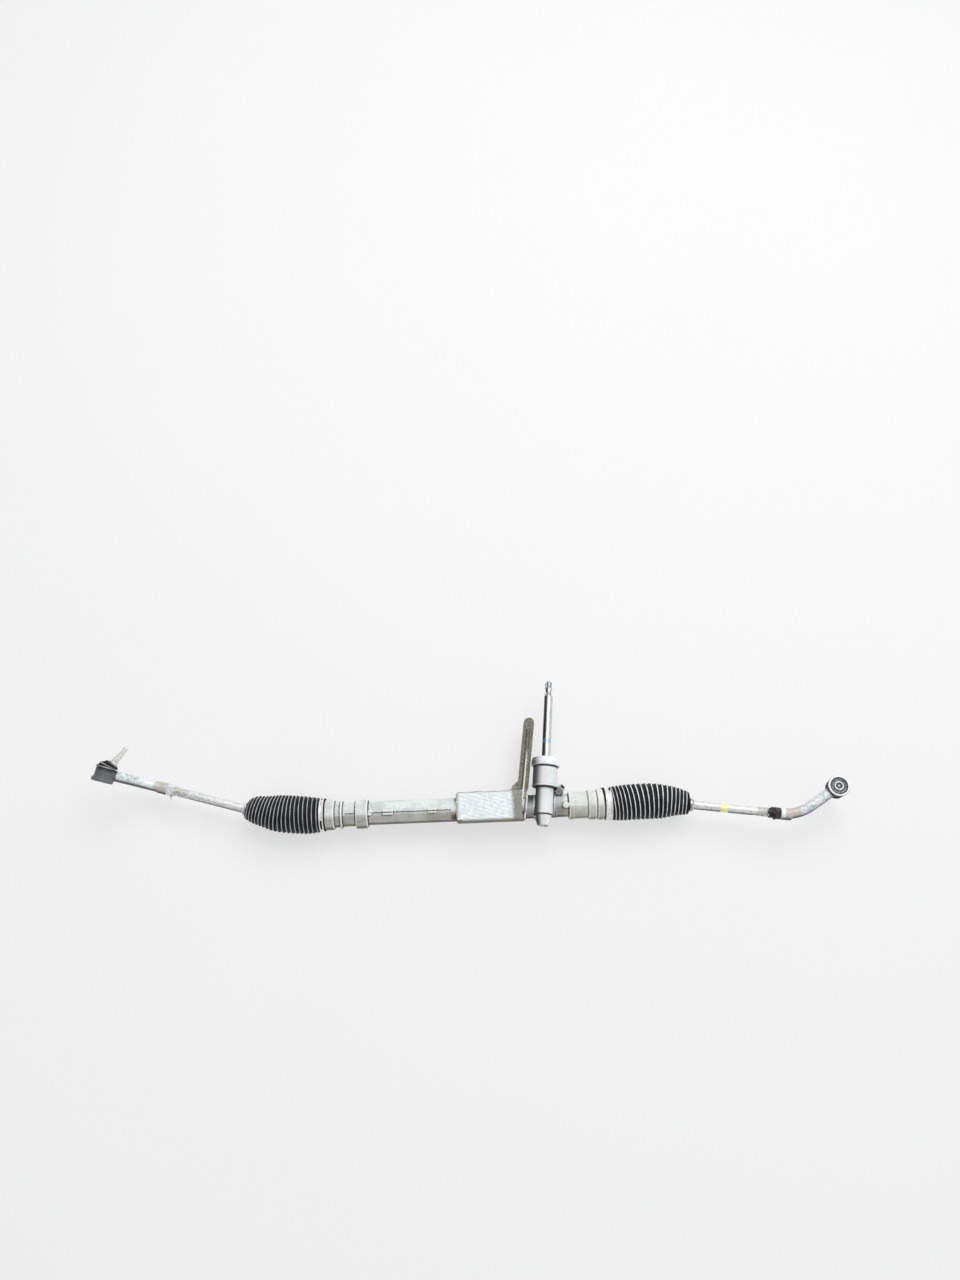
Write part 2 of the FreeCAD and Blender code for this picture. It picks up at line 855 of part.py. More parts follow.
def make_inner_socket(side):
    """Forged cup with a threaded tail that screws into the rack's end."""
    outwards = turned(Z_AXIS, 180) if side == "left" else HERE
    body = new_body(f"{side}_inner_socket", chain(shift(S.named(side, "ball_x")), outwards))
    cup = S.inner_seat_radius + S.running_gap
    opening, nose = S.inner_socket_opening, S.inner_socket_nose
    back, outer = -S.socket_back, S.inner_socket_radius
    tail = back - S.washer_gap - S.rack_thread_depth + 2
    edge = 1.5
    turn(body, [
        (tail, 0), (tail, S.rack_thread_radius - 1 - S.seat_gap),
        (tail + 1, S.rack_thread_radius - S.seat_gap),
        (back, S.rack_thread_radius - S.seat_gap), (back, outer - edge), (back + edge, outer),
        (nose - 2 * edge, outer), (nose, outer - 2), (nose, cup * opening.sine() + 0.2),
        (cup * opening.cosine(), cup * opening.sine(), 0, 0, cup), (0, cup, 0, 0, cup), (-cup, 0)])


def make_lock_washer(side):
    outwards = turned(Z_AXIS, 180) if side == "left" else HERE
    place = chain(shift(S.named(side, "ball_x")), outwards)
    start = -S.socket_back - S.washer_gap
    inner = S.rack_thread_radius + S.seat_gap
    body = ring(f"{side}_lock_washer", start, -S.socket_back, inner, S.rack_radius + 1.5, place)
    tab = rectangle(-3, 3, S.rack_radius + 0.5, S.rack_radius + 2.5)
    tab_place = chain(shift(start - 4), turned(Y_AXIS, 90), turned(Z_AXIS, 90))
    extrude(body, tab, 4 + S.washer_gap, tab_place)


def make_inner_seat(side):
    """Low-friction shell between the ball and its socket, open towards the rod."""
    body = new_body(f"{side}_inner_seat", seat_frame(side))
    make_seat_shell(body, S.inner_ball_radius + S.ball_gap, S.inner_seat_radius, S.inner_seat_opening)


def make_seat_shell(body, inner, outer, opening):
    across, up = opening.cosine(), opening.sine()
    turn(body, [
        (-outer, 0, 0, 0, outer), (0, outer, 0, 0, outer), (outer * across, outer * up),
        (inner * across, inner * up, 0, 0, inner), (0, inner, 0, 0, inner), (-inner, 0)])


# ---------------------------------------------------------------- tie rods

def ball_and_neck(ball, neck):
    """The first corners of a ball on a stem that leaves it along +X."""
    leave = Size(
        math.sqrt(ball.value ** 2 - neck.value ** 2), f"sqrt({ball.formula}^2 - {neck.formula}^2)")
    return [(-ball, 0, 0, 0, ball), (0, ball, 0, 0, ball), (leave, neck)]


def make_tie_rod(side):
    body = new_body(f"{side}_tie_rod", rod_frame(side))
    end = S.named(side, "reach") + S.rod_grip
    radius, groove, thread = S.rod_radius, S.rod_groove_radius, S.rod_thread_radius
    turn(body, ball_and_neck(S.inner_ball_radius, S.inner_neck_radius) + [
        (S.rod_neck_end, S.inner_neck_radius), (S.rod_shoulder, radius),
        (S.rod_groove_start, radius), (S.rod_groove_start + S.edge, groove),
        (S.rod_groove_end - S.edge, groove), (S.rod_groove_end, radius),
        (S.rod_thread_start, radius), (S.rod_thread_start + 1, thread),
        (end - 1, thread), (end, thread - 1), (end, 0)])
    flats = rectangle(S.rod_flats_start, S.rod_flats_end, radius - 1, radius + 1)
    for angle in (0, 180):
        place = chain(turned(X_AXIS, angle), shift(z=-radius))
        extrude(body, flats, 2 * radius, place, cut=True)


def make_lock_nut(side):
    place = chain(rod_frame(side), shift(S.named(side, "reach") - S.nut_length))
    body = new_body(f"{side}_lock_nut", place)
    square_on = chain(turned(Y_AXIS, 90), turned(Z_AXIS, 90))
    extrude(body, hexagon(S.nut_across), S.nut_length, square_on)
    corner, flat = S.nut_across / math.sqrt(3), S.nut_across / 2
    for start, sign in ((Size(0), 1), (S.nut_length, -1)):
        chamfer = [(start, flat), (start, corner + 1), (start + sign * (corner + 1 - flat) / 2, corner + 1)]
        turn(body, chamfer, cut=True)
    bore = S.rod_thread_radius + S.seat_gap
    turn(body, [(-1, 0), (S.nut_length + 1, 0), (S.nut_length + 1, bore), (-1, bore)], cut=True)


def make_bellows_clip(side):
    """Sprung wire clip of two turns that squeezes the bellows onto the rod."""
    body = new_body(f"{side}_bellows_clip", rod_frame(side))
    wire = S.clip_wire_radius
    middle = (S.rod_groove_start + S.rod_groove_end) / 2
    for offset in (-0.9, 0.9):
        turn(body, (middle + offset * wire, S.bellows_neck_radius + wire, wire))


# ---------------------------------------------------------------- outer ends

def make_outer_end(side):
    """Bent forging: a barrel for the rod's thread, a curved shank and the ball joint's housing."""
    body = new_body(f"{side}_outer_end", forging_frame(side))
    sign = bend_sign(side)
    round_radius, angle = S.bend_radius, S.bend_angle
    route = new_sketch(body)
    centre = FreeCAD.Vector(0, sign * round_radius.value, 0)
    bend_end = FreeCAD.Vector(
        (round_radius * angle.sine()).value, sign * (round_radius * (1 - angle.cosine())).value, 0)
    eye = FreeCAD.Vector(eye_reach().value, sign * eye_offset().value, 0)
    arc, forwards = short_arc(FreeCAD.Vector(), bend_end, centre, round_radius.value)
    route.addGeometry([arc, Part.LineSegment(bend_end, eye)], False)
    first, last = (START, END) if forwards else (END, START)
    route.addConstraint(Sketcher.Constraint("Coincident", 0, first, -1, 1))
    route.addConstraint(Sketcher.Constraint("Coincident", 0, last, 1, START))
    route.addConstraint(Sketcher.Constraint("PointOnObject", 0, MIDDLE, ON_Y_AXIS))
    tie(route, "Radius", (0,), round_radius)
    tie_across(route, 0, last, round_radius * angle.sine())
    tie_across(route, 1, END, eye_reach())
    tie_up(route, 1, END, sign * eye_offset())
    section = new_sketch(body, turned(Y_AXIS, 90))
    draw_circle(section, S.forging_radius)
    shank = body.newObject("PartDesign::AdditivePipe", "Shank")
    shank.Profile = section
    shank.Spine = (route, ["Edge1", "Edge2"])
    barrel, edge = S.barrel_radius, S.edge
    turn(body, [(0, 0), (0, barrel - edge), (edge, barrel), (S.barrel_length - edge, barrel),
                (S.barrel_length + 2, S.forging_radius - 1), (S.barrel_length + 2, 0)])
    add_eye(body, side)
    thread, grip = S.rod_thread_radius + S.seat_gap, S.rod_grip + 0.5
    turn(body, [(-1, 0), (grip, 0), (grip, thread), (-1, thread)], cut=True)


def add_eye(body, side):
    """The ball joint's housing about the eye: its outside, then the cup and its two mouths."""
    to_eye = chain(forging_frame(side).inverse(), eye_frame(side))
    top, bottom = -S.eye_top, S.eye_bottom
    outer, neck = S.eye_radius, S.eye_neck_radius
    cup = S.outer_seat_radius + S.running_gap
    opening = S.outer_socket_opening
    turn(body, [
        (top, 0), (top, outer - 1), (top + 1, outer), (top + 6, outer), (top + 8, neck + 1),
        (bottom - 3, neck + 1), (bottom - 3, neck), (bottom, neck), (bottom, 0)], to_eye)
    mouth = S.eye_cap_radius + S.seat_gap
    lip = mouth - 1.2
    turn(body, [
        (top - 1, 0), (top - 1, lip), (-S.eye_cap_end, lip), (-S.eye_cap_end, mouth),
        (-S.eye_cap_start, mouth), (-S.eye_cap_start, cup), (0, cup, 0, 0, cup),
        (cup * opening.cosine(), cup * opening.sine()), (bottom, S.eye_mouth_radius),
        (bottom + 1, S.eye_mouth_radius), (bottom + 1, 0)], to_eye, cut=True)


def make_eye_cap(side):
    """Closing plate with a raised centre, rolled into the top of the eye."""
    body = new_body(f"{side}_eye_cap", eye_frame(side))
    low, high, radius = -S.eye_cap_start, -S.eye_cap_end, S.eye_cap_radius
    dimple = S.eye_cap_dimple
    turn(body, [
        (low, 0), (low, radius), (high, radius), (high, dimple + 3.5), (high + 0.7, dimple + 2.5),
        (high + 0.7, dimple + 0.6), (high - 0.5, dimple), (high - 0.5, 2), (high + 0.4, 1.2),
        (high + 0.4, 0)])


def make_outer_seat(side):
    """Plastic shell around the stud's ball.  It tilts with the stud and lets it spin."""
    body = new_body(f"{side}_outer_seat", eye_frame(side, S.named(side, "stud_tilt")))
    make_seat_shell(body, S.outer_ball_radius + S.ball_gap, S.outer_seat_radius, S.outer_seat_opening)


def make_ball_stud(side):
    body = new_body(f"{side}_ball_stud", eye_frame(side, S.named(side, "stud_tilt")))
    collar_start, collar_end = S.stud_collar_start, S.stud_collar_end
    neck, collar, taper = S.stud_neck_radius, S.stud_collar_radius, S.stud_taper_radius
    thread, end = S.stud_thread_radius, S.stud_end
    turn(body, ball_and_neck(S.outer_ball_radius, neck) + [
        (collar_start - 3, neck), (collar_start, neck + 1), (collar_start, collar),
        (collar_end, collar), (collar_end, taper), (S.stud_taper_end, taper - 1.6),
        (S.stud_taper_end, thread), (end - 1, thread), (end, thread - 1), (end, 0)])


def make_boot(side):
    """Rubber boot from the eye's lower rim to the stud's collar, leaning with the stud."""
    square, leaning = eye_frame(side), eye_frame(side, S.named(side, "stud_tilt"))
    half_way = eye_frame(side, S.named(side, "stud_tilt") / 2)
    face_on = turned(Y_AXIS, 90)
    back = square.inverse()
    body = soft_tube(f"{side}_outer_boot", [
        (chain(shift(S.boot_start), face_on), S.boot_top_radius),
        (chain(shift(S.eye_bottom + 0.4), face_on), S.boot_top_radius),
        (chain(back, half_way, shift(S.boot_belly), face_on), S.boot_belly_radius),
        (chain(back, leaning, shift(S.boot_lip_start), face_on), S.boot_lip_radius),
        (chain(back, leaning, shift(S.boot_end), face_on), S.boot_lip_radius)], S.boot_wall, square)
    return body


def make_boot_rings(side):
    """A wire ring on the boot's rim and a smaller one on its lip."""
    rim_start = S.boot_start + 0.2
    ring(f"{side}_boot_ring", rim_start, rim_start + S.boot_ring_length,
         S.boot_top_radius + S.seat_gap, S.boot_ring_radius, eye_frame(side))
    lip_start, lip_inner = S.boot_lip_start + 0.4, S.boot_lip_radius + S.seat_gap
    ring(f"{side}_lip_ring", lip_start, lip_start + S.lip_ring_thickness, lip_inner,
         lip_inner + S.lip_ring_thickness, eye_frame(side, S.named(side, "stud_tilt")))


# ---------------------------------------------------------------- pinion and its bearings

def involute(radius_base, radius):
    """Roll angle from the base circle out to radius, in radians."""
    pressure = math.acos(radius_base / radius)
    return math.tan(pressure) - pressure


def tooth_outline(teeth, phase):
    """The pinion's section: involute flanks, round tips and radial flanks down to the root."""
    normal_angle = math.radians(S.pressure_angle.value)
    helix = math.radians(S.helix_angle.value)
    module = S.module.value
    face_angle = math.atan(math.tan(normal_angle) / math.cos(helix))
    pitch_radius = module * teeth / 2 / math.cos(helix)
    base_radius = pitch_radius * math.cos(face_angle)
    tip_radius = pitch_radius + S.pinion_tip_factor.value * module
    root_radius = S.pinion_root_radius.value
    thickness = math.pi / 2 + 2 * S.profile_shift.value * math.tan(normal_angle)
    half = thickness / teeth + involute(base_radius, pitch_radius)
    flank_points = 9

    def at(radius, angle):
        return FreeCAD.Vector(0, radius * math.cos(angle), radius * math.sin(angle))

    edges = []
    for tooth in range(teeth):
        middle = phase + tooth * 2 * math.pi / teeth
        radii = [base_radius + (tip_radius - base_radius) * (step / (flank_points - 1)) ** 2
                 for step in range(flank_points)]
        angles = [half - involute(base_radius, radius) for radius in radii]
        rising = [at(radius, middle - angle) for radius, angle in zip(radii, angles)]
        falling = [at(radius, middle + angle) for radius, angle in zip(radii, angles)][::-1]
        next_middle = middle + 2 * math.pi / teeth
        root_start = at(root_radius, middle + half)
        root_middle = at(root_radius, (middle + next_middle) / 2)
        root_end = at(root_radius, next_middle - half)
        for flank in (rising, falling):
            curve = Part.BSplineCurve()
            curve.interpolate(flank)
            edges.append(curve.toShape())
        edges.insert(-1, Part.Arc(rising[-1], at(tip_radius, middle), falling[0]).toShape())
        edges.append(Part.LineSegment(falling[-1], root_start).toShape())
        edges.append(Part.Arc(root_start, root_middle, root_end).toShape())
        edges.append(Part.LineSegment(root_end, at(base_radius, next_middle - half)).toShape())
    return Part.Wire(Part.__sortEdges__(edges)), pitch_radius


def make_pinion_teeth():
    """Right-hand helical teeth, one of them pointing down at the middle of the face."""
    teeth = int(S.pinion_teeth.value)
    face = S.tooth_face.value
    lead = 2 * math.pi * (S.module.value * teeth / 2) / math.sin(math.radians(S.helix_angle.value))
    start_phase = -math.pi / 2 - math.pi * face / lead
    wire, pitch_radius = tooth_outline(teeth, start_phase)
    wire.translate(FreeCAD.Vector(-face / 2, 0, 0))
    spine = Part.Wire(Part.makeLine((-face / 2, 0, 0), (face / 2, 0, 0)))
    helix = Part.makeHelix(lead, face, pitch_radius)
    helix.rotate(FreeCAD.Vector(), Y_AXIS, 90)
    helix.translate(FreeCAD.Vector(-face / 2, 0, 0))
    shell = Part.BRepOffsetAPI.MakePipeShell(spine)
    shell.setAuxiliarySpine(Part.Wire(helix.Edges), True, 0)
    shell.add(wire)
    shell.build()
    shell.makeSolid()
    feature = doc.addObject("Part::Feature", "helical_teeth")
    feature.Shape = shell.shape()
    feature.Placement = pinion_frame()
    return feature


def make_pinion():
    body = new_body("turned_shaft", pinion_frame(), kept=False)
    half_face, core = S.tooth_face / 2, S.pinion_root_radius - 0.5
    foot, journal = S.pinion_foot, S.journal_radius
    shoulder, seat, shaft = S.pinion_shoulder_radius, S.bearing_seat_radius, S.shaft_radius
    seat_end = S.bearing_start + S.bearing_width + S.circlip_length + 0.4
    spline, tip = S.spline_radius, S.pinion_tip
    journal_end, seal_journal = S.seal_journal_end, S.seal_journal_radius
    groove, edge = S.clamp_groove_radius, S.edge
    turn(body, [
        (foot, 0), (foot, journal - edge), (foot + edge, journal), (-half_face - 1, journal),
        (-half_face - 1, core), (half_face + 1, core), (half_face + 3, shoulder),
        (S.bearing_start, shoulder), (S.bearing_start, seat), (seat_end, seat), (seat_end, seal_journal),
        (journal_end, seal_journal), (journal_end + edge, shaft),
        (S.spline_start, shaft), (S.spline_start + edge, spline), (S.clamp_groove_start, spline),
        (S.clamp_groove_start + 1.5, groove), (S.clamp_groove_end - 1.5, groove),
        (S.clamp_groove_end, spline), (tip - 3, spline), (tip, S.pinion_tip_radius), (tip, 0)])
    before = size_of(body)
    depth, reach = S.spline_depth, S.spline_radius + 1
    sketch = new_sketch(body, chain(shift(S.spline_start + edge), turned(Y_AXIS, 90)))
    draw_outline(sketch, [(0, spline - depth), (depth + 0.6, reach), (-depth - 0.6, reach)])
    pocket = body.newObject("PartDesign::Pocket", "SplineGap")
    pocket.Profile = sketch
    pocket.Length = (tip - S.spline_start).value
    pocket.setExpression("Length", (tip - S.spline_start).formula)
    pocket.Reversed = True
    cut_check(body, before, "a spline gap")
    pattern = body.newObject("PartDesign::PolarPattern", "Splines")
    pattern.Originals = [pocket]
    pattern.Axis = (sketch, ["N_Axis"])
    pattern.Angle = 360
    pattern.Occurrences = int(S.spline_count.value)
    body.Tip = pattern
    teeth = make_pinion_teeth()
    fused = doc.addObject("Part::Fuse", "pinion_shaft")
    fused.Label = "pinion_shaft"
    fused.Base = body
    fused.Tool = teeth
    sub_parts.append(fused)


def raceway(body, start, width, radius):
    """Cuts a ball track of slightly more than the ball's radius round a bearing race."""
    track = S.bearing_ball_radius + S.running_gap
    turn(body, (start + width / 2, radius, track), cut=True)


def make_upper_bearing():
    place = pinion_frame()
    start, width = S.bearing_start, S.bearing_width
    end = start + width
    outer = ring("upper_bearing_outer_race", start, end, S.outer_race_bore,
                 S.upper_bore_radius - S.seat_gap, place)
    inner = ring("upper_bearing_inner_race", start, end, S.bearing_seat_radius + S.seat_gap,
                 S.inner_race_radius, place)
    for race in (outer, inner):
        raceway(race, start, width, S.bearing_pitch)
    middle = start + width / 2
    cage = ring("upper_bearing_cage", middle - S.cage_half, middle + S.cage_half,
                S.cage_inner_radius, S.cage_outer_radius, place)
    before = size_of(cage)
    sketch = new_sketch(cage, chain(shift(middle), shift(z=S.cage_inner_radius - 2)))
    draw_circle(sketch, S.bearing_ball_radius + 0.2)
    pocket = cage.newObject("PartDesign::Pocket", "BallPocket")
    pocket.Profile = sketch
    pocket.Length = 6
    pocket.Reversed = True
    cut_check(cage, before, "a ball pocket")
    around(cage, pocket, new_sketch(cage), S.bearing_ball_count)
    balls = []
    for number in range(int(S.bearing_ball_count.value)):
        ball = doc.addObject("Part::Sphere", f"ball_{number + 1}")
        ball.setExpression("Radius", S.bearing_ball_radius.formula)
        angle = 360 * number / S.bearing_ball_count.value
        ball.Placement = chain(turned(X_AXIS, angle), shift(middle, 0, S.bearing_pitch))
        balls.append(ball)
    compound("upper_bearing_balls", balls, place)


def make_lower_bearing():
    place = pinion_frame()
    start, end = S.cup_start, S.cup_end
    outer = S.needle_bore_radius - S.seat_gap
    body = new_body("lower_bearing_cup", place)
    wall, lip = S.cup_bore, S.journal_radius + 0.6
    turn(body, [(start, lip), (start + 0.8, lip), (start + 0.8, wall), (end - 0.8, wall), (end - 0.8, lip),
                (end, lip), (end, outer), (start, outer)])
    rollers = []
    middle = (start + end) / 2
    for number in range(int(S.roller_count.value)):
        roller = doc.addObject("Part::Cylinder", f"roller_{number + 1}")
        roller.setExpression("Radius", S.roller_radius.formula)
        roller.setExpression("Height", S.roller_length.formula)
        angle = 360 * number / S.roller_count.value
        roller.Placement = chain(
            turned(X_AXIS, angle), shift(middle - S.roller_length / 2, 0, S.roller_pitch),
            turned(Y_AXIS, 90))
        rollers.append(roller)
    compound("lower_bearing_rollers", rollers, place)
    plug = new_body("lower_end_plug", place)
    face = S.needle_bore_start
    turn(plug, [(face - 1, 0), (face - 1, outer - 2), (face - 2, outer - 1.4), (face - 2, outer),
                (face, outer), (face + 0.4, outer - 2), (face + 0.4, 0)])


def make_tower_pieces():
    place = pinion_frame()
    bore = S.upper_bore_radius - S.seat_gap
    nut_start = S.bearing_start + S.bearing_width
    nut = ring(
        "bearing_ring_nut", nut_start, nut_start + S.ring_nut_length, S.cage_inner_radius, bore, place)
    slot = rectangle(S.cage_inner_radius - 1, S.upper_bore_radius - 2.5, -1.5, 1.5)
    for angle in (0, 90, 180, 270):
        slot_place = chain(
            turned(X_AXIS, angle), shift(nut_start + S.ring_nut_length - 2), turned(Y_AXIS, 90))
        extrude(nut, slot, 3, slot_place, cut=True)
    ring("pinion_circlip", nut_start + 0.1, nut_start + 0.1 + S.circlip_length,
         S.bearing_seat_radius + S.seat_gap, S.circlip_radius, place)
    seal = new_body("pinion_seal", place)
    start, end = S.seal_start, S.seal_start + S.seal_length
    lip = S.seal_journal_radius + S.running_gap
    turn(seal, [
        (start, bore), (start, bore - 3), (start + 1.5, bore - 3), (start + 1.5, lip + 3),
        (start, lip + 2), (start, lip), (start + 1.2, lip), (end - 2, lip + 1.6), (end, lip + 1.6),
        (end, bore)])
    make_cover(place)


def make_cover(place):
    """Cap pressed over the tower's top, with a rim, a shallow dome and a hole for the shaft."""
    body = new_body("pinion_cover", place)
    inner = S.tower_upper_radius + S.seat_gap
    outer, top, start = S.cover_radius, S.cover_top, S.cover_start
    hole = S.cover_hole_radius
    turn(body, [
        (start, inner), (start, outer - 0.6), (start + 0.6, outer), (start + 8, outer),
        (start + 9, outer - 0.8), (top - 3, outer - 0.8), (top - 1.4, outer - 2.4), (top, hole + 3),
        (top, hole), (top - 2.2, hole), (S.tower_top + S.seat_gap, hole + 4),
        (S.tower_top + S.seat_gap, inner)])


# ---------------------------------------------------------------- rack support

def make_yoke():
    """Spring-loaded slipper that presses the rack up into the pinion."""
    body = new_body("rack_yoke")
    radius = S.yoke_bore_radius - S.running_gap
    low, high = S.yoke_bottom, S.yoke_top
    extrude(body, radius, high - low, shift(S.pinion_x, 0, low))
    pocket = shift(S.pinion_x, 0, low - 1)
    extrude(body, S.yoke_pocket_radius, S.yoke_pocket_top - low + 1, pocket, cut=True)
    bed = S.rack_radius + S.running_gap + S.liner_thickness + S.seat_gap
    left, right = S.pinion_x - 20, S.pinion_x + 20
    turn(body, [(left, 0), (right, 0), (right, bed), (left, bed)], cut=True)
    liner = new_body("yoke_liner")
    inner = S.rack_radius + S.running_gap
    half = S.liner_length / 2
    left, right = S.pinion_x - half, S.pinion_x + half
    turn(liner, [(left, inner), (right, inner), (right, bed - S.seat_gap), (left, bed - S.seat_gap)])
    above = rectangle(left - 1, right + 1, -bed - 2, bed + 2)
    extrude(liner, above, 2 * bed, shift(z=S.liner_drop), cut=True)


def make_yoke_spring():
    """Coil between the yoke and its plug."""
    wire = S.spring_wire_radius.value
    low, high = S.plug_pocket_top.value + wire, S.yoke_pocket_top.value - wire
    radius = S.spring_radius.value
    helix = Part.makeHelix((high - low) / S.spring_turns.value, high - low, radius)
    section = Part.Wire(Part.makeCircle(wire, FreeCAD.Vector(radius, 0, 0), Y_AXIS))
    coil = Part.Wire(helix.Edges).makePipeShell([section], True, True)
    feature = doc.addObject("Part::Feature", "yoke_spring")
    feature.Label = "yoke_spring"
    feature.Shape = coil
    feature.Placement = shift(S.pinion_x, 0, low)
    sub_parts.append(feature)


def make_yoke_plug():
    body = new_body("yoke_plug")
    radius = S.yoke_bore_radius - S.seat_gap
    low, high = S.plug_bottom, S.plug_top
    extrude(body, radius, high - low, shift(S.pinion_x, 0, low))
    key_place = shift(S.pinion_x, 0, low - 1)
    extrude(body, hexagon(S.plug_key_across), S.plug_key_depth + 1, key_place, cut=True)
    pocket = shift(S.pinion_x, 0, S.plug_pocket_top)
    extrude(body, S.yoke_pocket_radius, high - S.plug_pocket_top + 1, pocket, cut=True)
    nut = new_body("yoke_lock_nut")
    bottom = S.yoke_boss_bottom - S.plug_nut_length
    extrude(nut, hexagon(S.plug_nut_across), S.plug_nut_length, shift(S.pinion_x, 0, bottom))
    bore_place = shift(S.pinion_x, 0, bottom - 1)
    extrude(nut, S.yoke_bore_radius, S.plug_nut_length + 2, bore_place, cut=True)


# ---------------------------------------------------------------- bushing, clamps, bellows

def make_bushing():
    body = ring("left_rack_bushing", S.bushing_from, S.bushing_to, S.rack_radius + S.running_gap,
                S.bushing_radius)
    groove = rectangle(S.bushing_from + 4, S.bushing_to - 4, -1.2, 1.2)
    for angle in (0, 120, 240):
        place = chain(turned(X_AXIS, angle), shift(z=S.rack_radius - 1))
        extrude(body, groove, 2, place, cut=True)


def make_bellows_clamp(side):
    """Band clamp on the bellows' wide end, with an ear where its ends are pinched."""
    start, end = clamp_span(side)
    body = ring(f"{side}_bellows_clamp", start, end, S.cuff_radius + 0.1, S.clamp_radius)
    half = S.clamp_lug_width / 2
    lug = rectangle(start + 0.6, end - 0.6, -half, half)
    place = chain(turned(X_AXIS, 180 + 35), shift(z=S.clamp_radius - 0.6))
    extrude(body, lug, S.clamp_lug_height, place)


def clamp_span(side):
    if side == "left":
        return S.left_spigot_from + 4, S.left_spigot_to - 2
    return S.right_spigot_from + 2.5, S.right_spigot_to - 0.5


def make_bellows(side):
    """Plain skin from the casing's spigot to the tie rod, bent at the inner ball."""
    face_on = turned(Y_AXIS, 90)
    outwards = -1 if side == "left" else 1
    ball = S.named(side, "ball_x")
    spigot = S.left_spigot_from if side == "left" else S.right_spigot_to
    inner_end = (S.left_spigot_to if side == "left" else S.right_spigot_from) + outwards * 1.0
    belly, shoulder = S.bellows_belly_radius, S.bellows_shoulder_radius
    rod = rod_frame(side)
    bisector = chain(
        shift(ball), turned(Z_AXIS, (S.named(side, "heading") - (180 if side == "left" else 0)) / 2),
        turned(Z_AXIS, 180 if side == "left" else 0))
    straight = turned(Y_AXIS, 90 * outwards)
    stations = [
        (chain(shift(inner_end), straight), S.cuff_radius),
        (chain(shift(spigot), straight), S.cuff_radius),
        (chain(shift(spigot + outwards * 22), straight), belly),
        (chain(shift(ball - outwards * 16), straight), belly),
        (chain(bisector, shift(4), face_on), belly - 2),
        (chain(rod, shift(S.bellows_turn), face_on), belly - 7),
        (chain(rod, shift(S.bellows_shoulder), face_on), shoulder)]
    soft_tube(f"{side}_bellows", stations, S.bellows_wall)


def make_vent_plug():
    place = chain(vent_frame(), shift(z=S.vent_boss_length - S.vent_plug_depth), turned(Y_AXIS, -90))
    body = new_body("vent_plug", place)
    radius, depth = S.vent_plug_radius - S.seat_gap, S.vent_plug_depth
    turn(body, [
        (0, 0), (0, radius - 0.5), (0.5, radius), (depth - 0.6, radius), (depth - 0.6, radius - 1.2),
        (depth - 1.4, radius - 2), (depth - 1.4, 0)])


# ---------------------------------------------------------------- assembly and hand-over

def make_everything():
    make_casing()
    make_label()
    make_rack()
    make_bushing()
    make_yoke()
    make_yoke_spring()
    make_yoke_plug()
    make_pinion()
    make_upper_bearing()
    make_lower_bearing()
    make_tower_pieces()
    make_vent_plug()
    for side in ("left", "right"):
        make_bellows_clamp(side)
        make_bellows(side)
        make_inner_socket(side)
        make_lock_washer(side)
        make_inner_seat(side)
        make_tie_rod(side)
        make_lock_nut(side)
        make_bellows_clip(side)
        make_outer_end(side)
        make_eye_cap(side)
        make_boot(side)
        make_boot_rings(side)
        make_outer_seat(side)
        make_ball_stud(side)
    doc.recompute()


def check_everything():
    for item in doc.Objects:
        if "Invalid" in item.State or "Error" in item.State:
            raise RuntimeError(f"{item.Label} failed: {item.State}")
    for item in sub_parts:
        if item.Shape.isNull() or not item.Shape.isValid() or not item.Shape.Solids:
            raise RuntimeError(f"{item.Label} has no sound shape")


def write_everything():
    os.makedirs("parts", exist_ok=True)
    for item in sub_parts:
        item.Shape.exportStep(os.path.join("parts", f"{item.Label}.step"))
        print(f"{item.Label}: {item.Shape.Volume / 1000:.2f} cm3, {len(item.Shape.Solids)} solid(s)")


make_everything()
check_everything()
write_everything()
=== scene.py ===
"""Looks of a manual rack-and-pinion steering gear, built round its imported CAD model.

+X runs along the rack to the pinion end, +Y the way the pinion shaft points, and +Z up. Lengths are in
metres, but the sizes and depths of patterns and the distances in the painted marks are in mm.
"""

import itertools
import json
import math

import bmesh
import bpy
import numpy as np
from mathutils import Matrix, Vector
from mathutils.bvhtree import BVHTree


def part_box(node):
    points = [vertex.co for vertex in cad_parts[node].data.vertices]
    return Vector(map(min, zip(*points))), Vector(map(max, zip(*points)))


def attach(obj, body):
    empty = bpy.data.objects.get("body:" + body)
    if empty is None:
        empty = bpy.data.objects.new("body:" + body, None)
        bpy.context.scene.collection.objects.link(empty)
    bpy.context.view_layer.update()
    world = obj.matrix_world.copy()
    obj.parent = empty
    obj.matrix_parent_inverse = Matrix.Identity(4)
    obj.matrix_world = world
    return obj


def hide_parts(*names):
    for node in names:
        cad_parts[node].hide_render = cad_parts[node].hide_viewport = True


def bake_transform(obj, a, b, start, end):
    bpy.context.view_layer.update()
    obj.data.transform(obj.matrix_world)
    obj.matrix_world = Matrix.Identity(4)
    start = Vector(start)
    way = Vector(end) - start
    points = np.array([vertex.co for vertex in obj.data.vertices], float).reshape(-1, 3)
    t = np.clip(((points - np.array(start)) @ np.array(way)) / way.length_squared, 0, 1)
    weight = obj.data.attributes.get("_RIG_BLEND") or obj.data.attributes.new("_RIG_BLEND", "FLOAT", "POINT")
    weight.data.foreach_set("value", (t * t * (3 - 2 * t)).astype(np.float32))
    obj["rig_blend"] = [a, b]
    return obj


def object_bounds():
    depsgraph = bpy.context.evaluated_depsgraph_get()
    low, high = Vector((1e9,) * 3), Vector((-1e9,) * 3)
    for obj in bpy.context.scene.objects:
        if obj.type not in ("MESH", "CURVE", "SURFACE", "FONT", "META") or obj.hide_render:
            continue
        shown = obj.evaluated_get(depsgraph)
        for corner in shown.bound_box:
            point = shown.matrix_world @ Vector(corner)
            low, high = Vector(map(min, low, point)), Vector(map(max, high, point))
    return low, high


MM = 0.001
SIDES = ("left", "right")
RANGE_SOCKETS = ("From Min", "From Max", "To Min", "To Max")
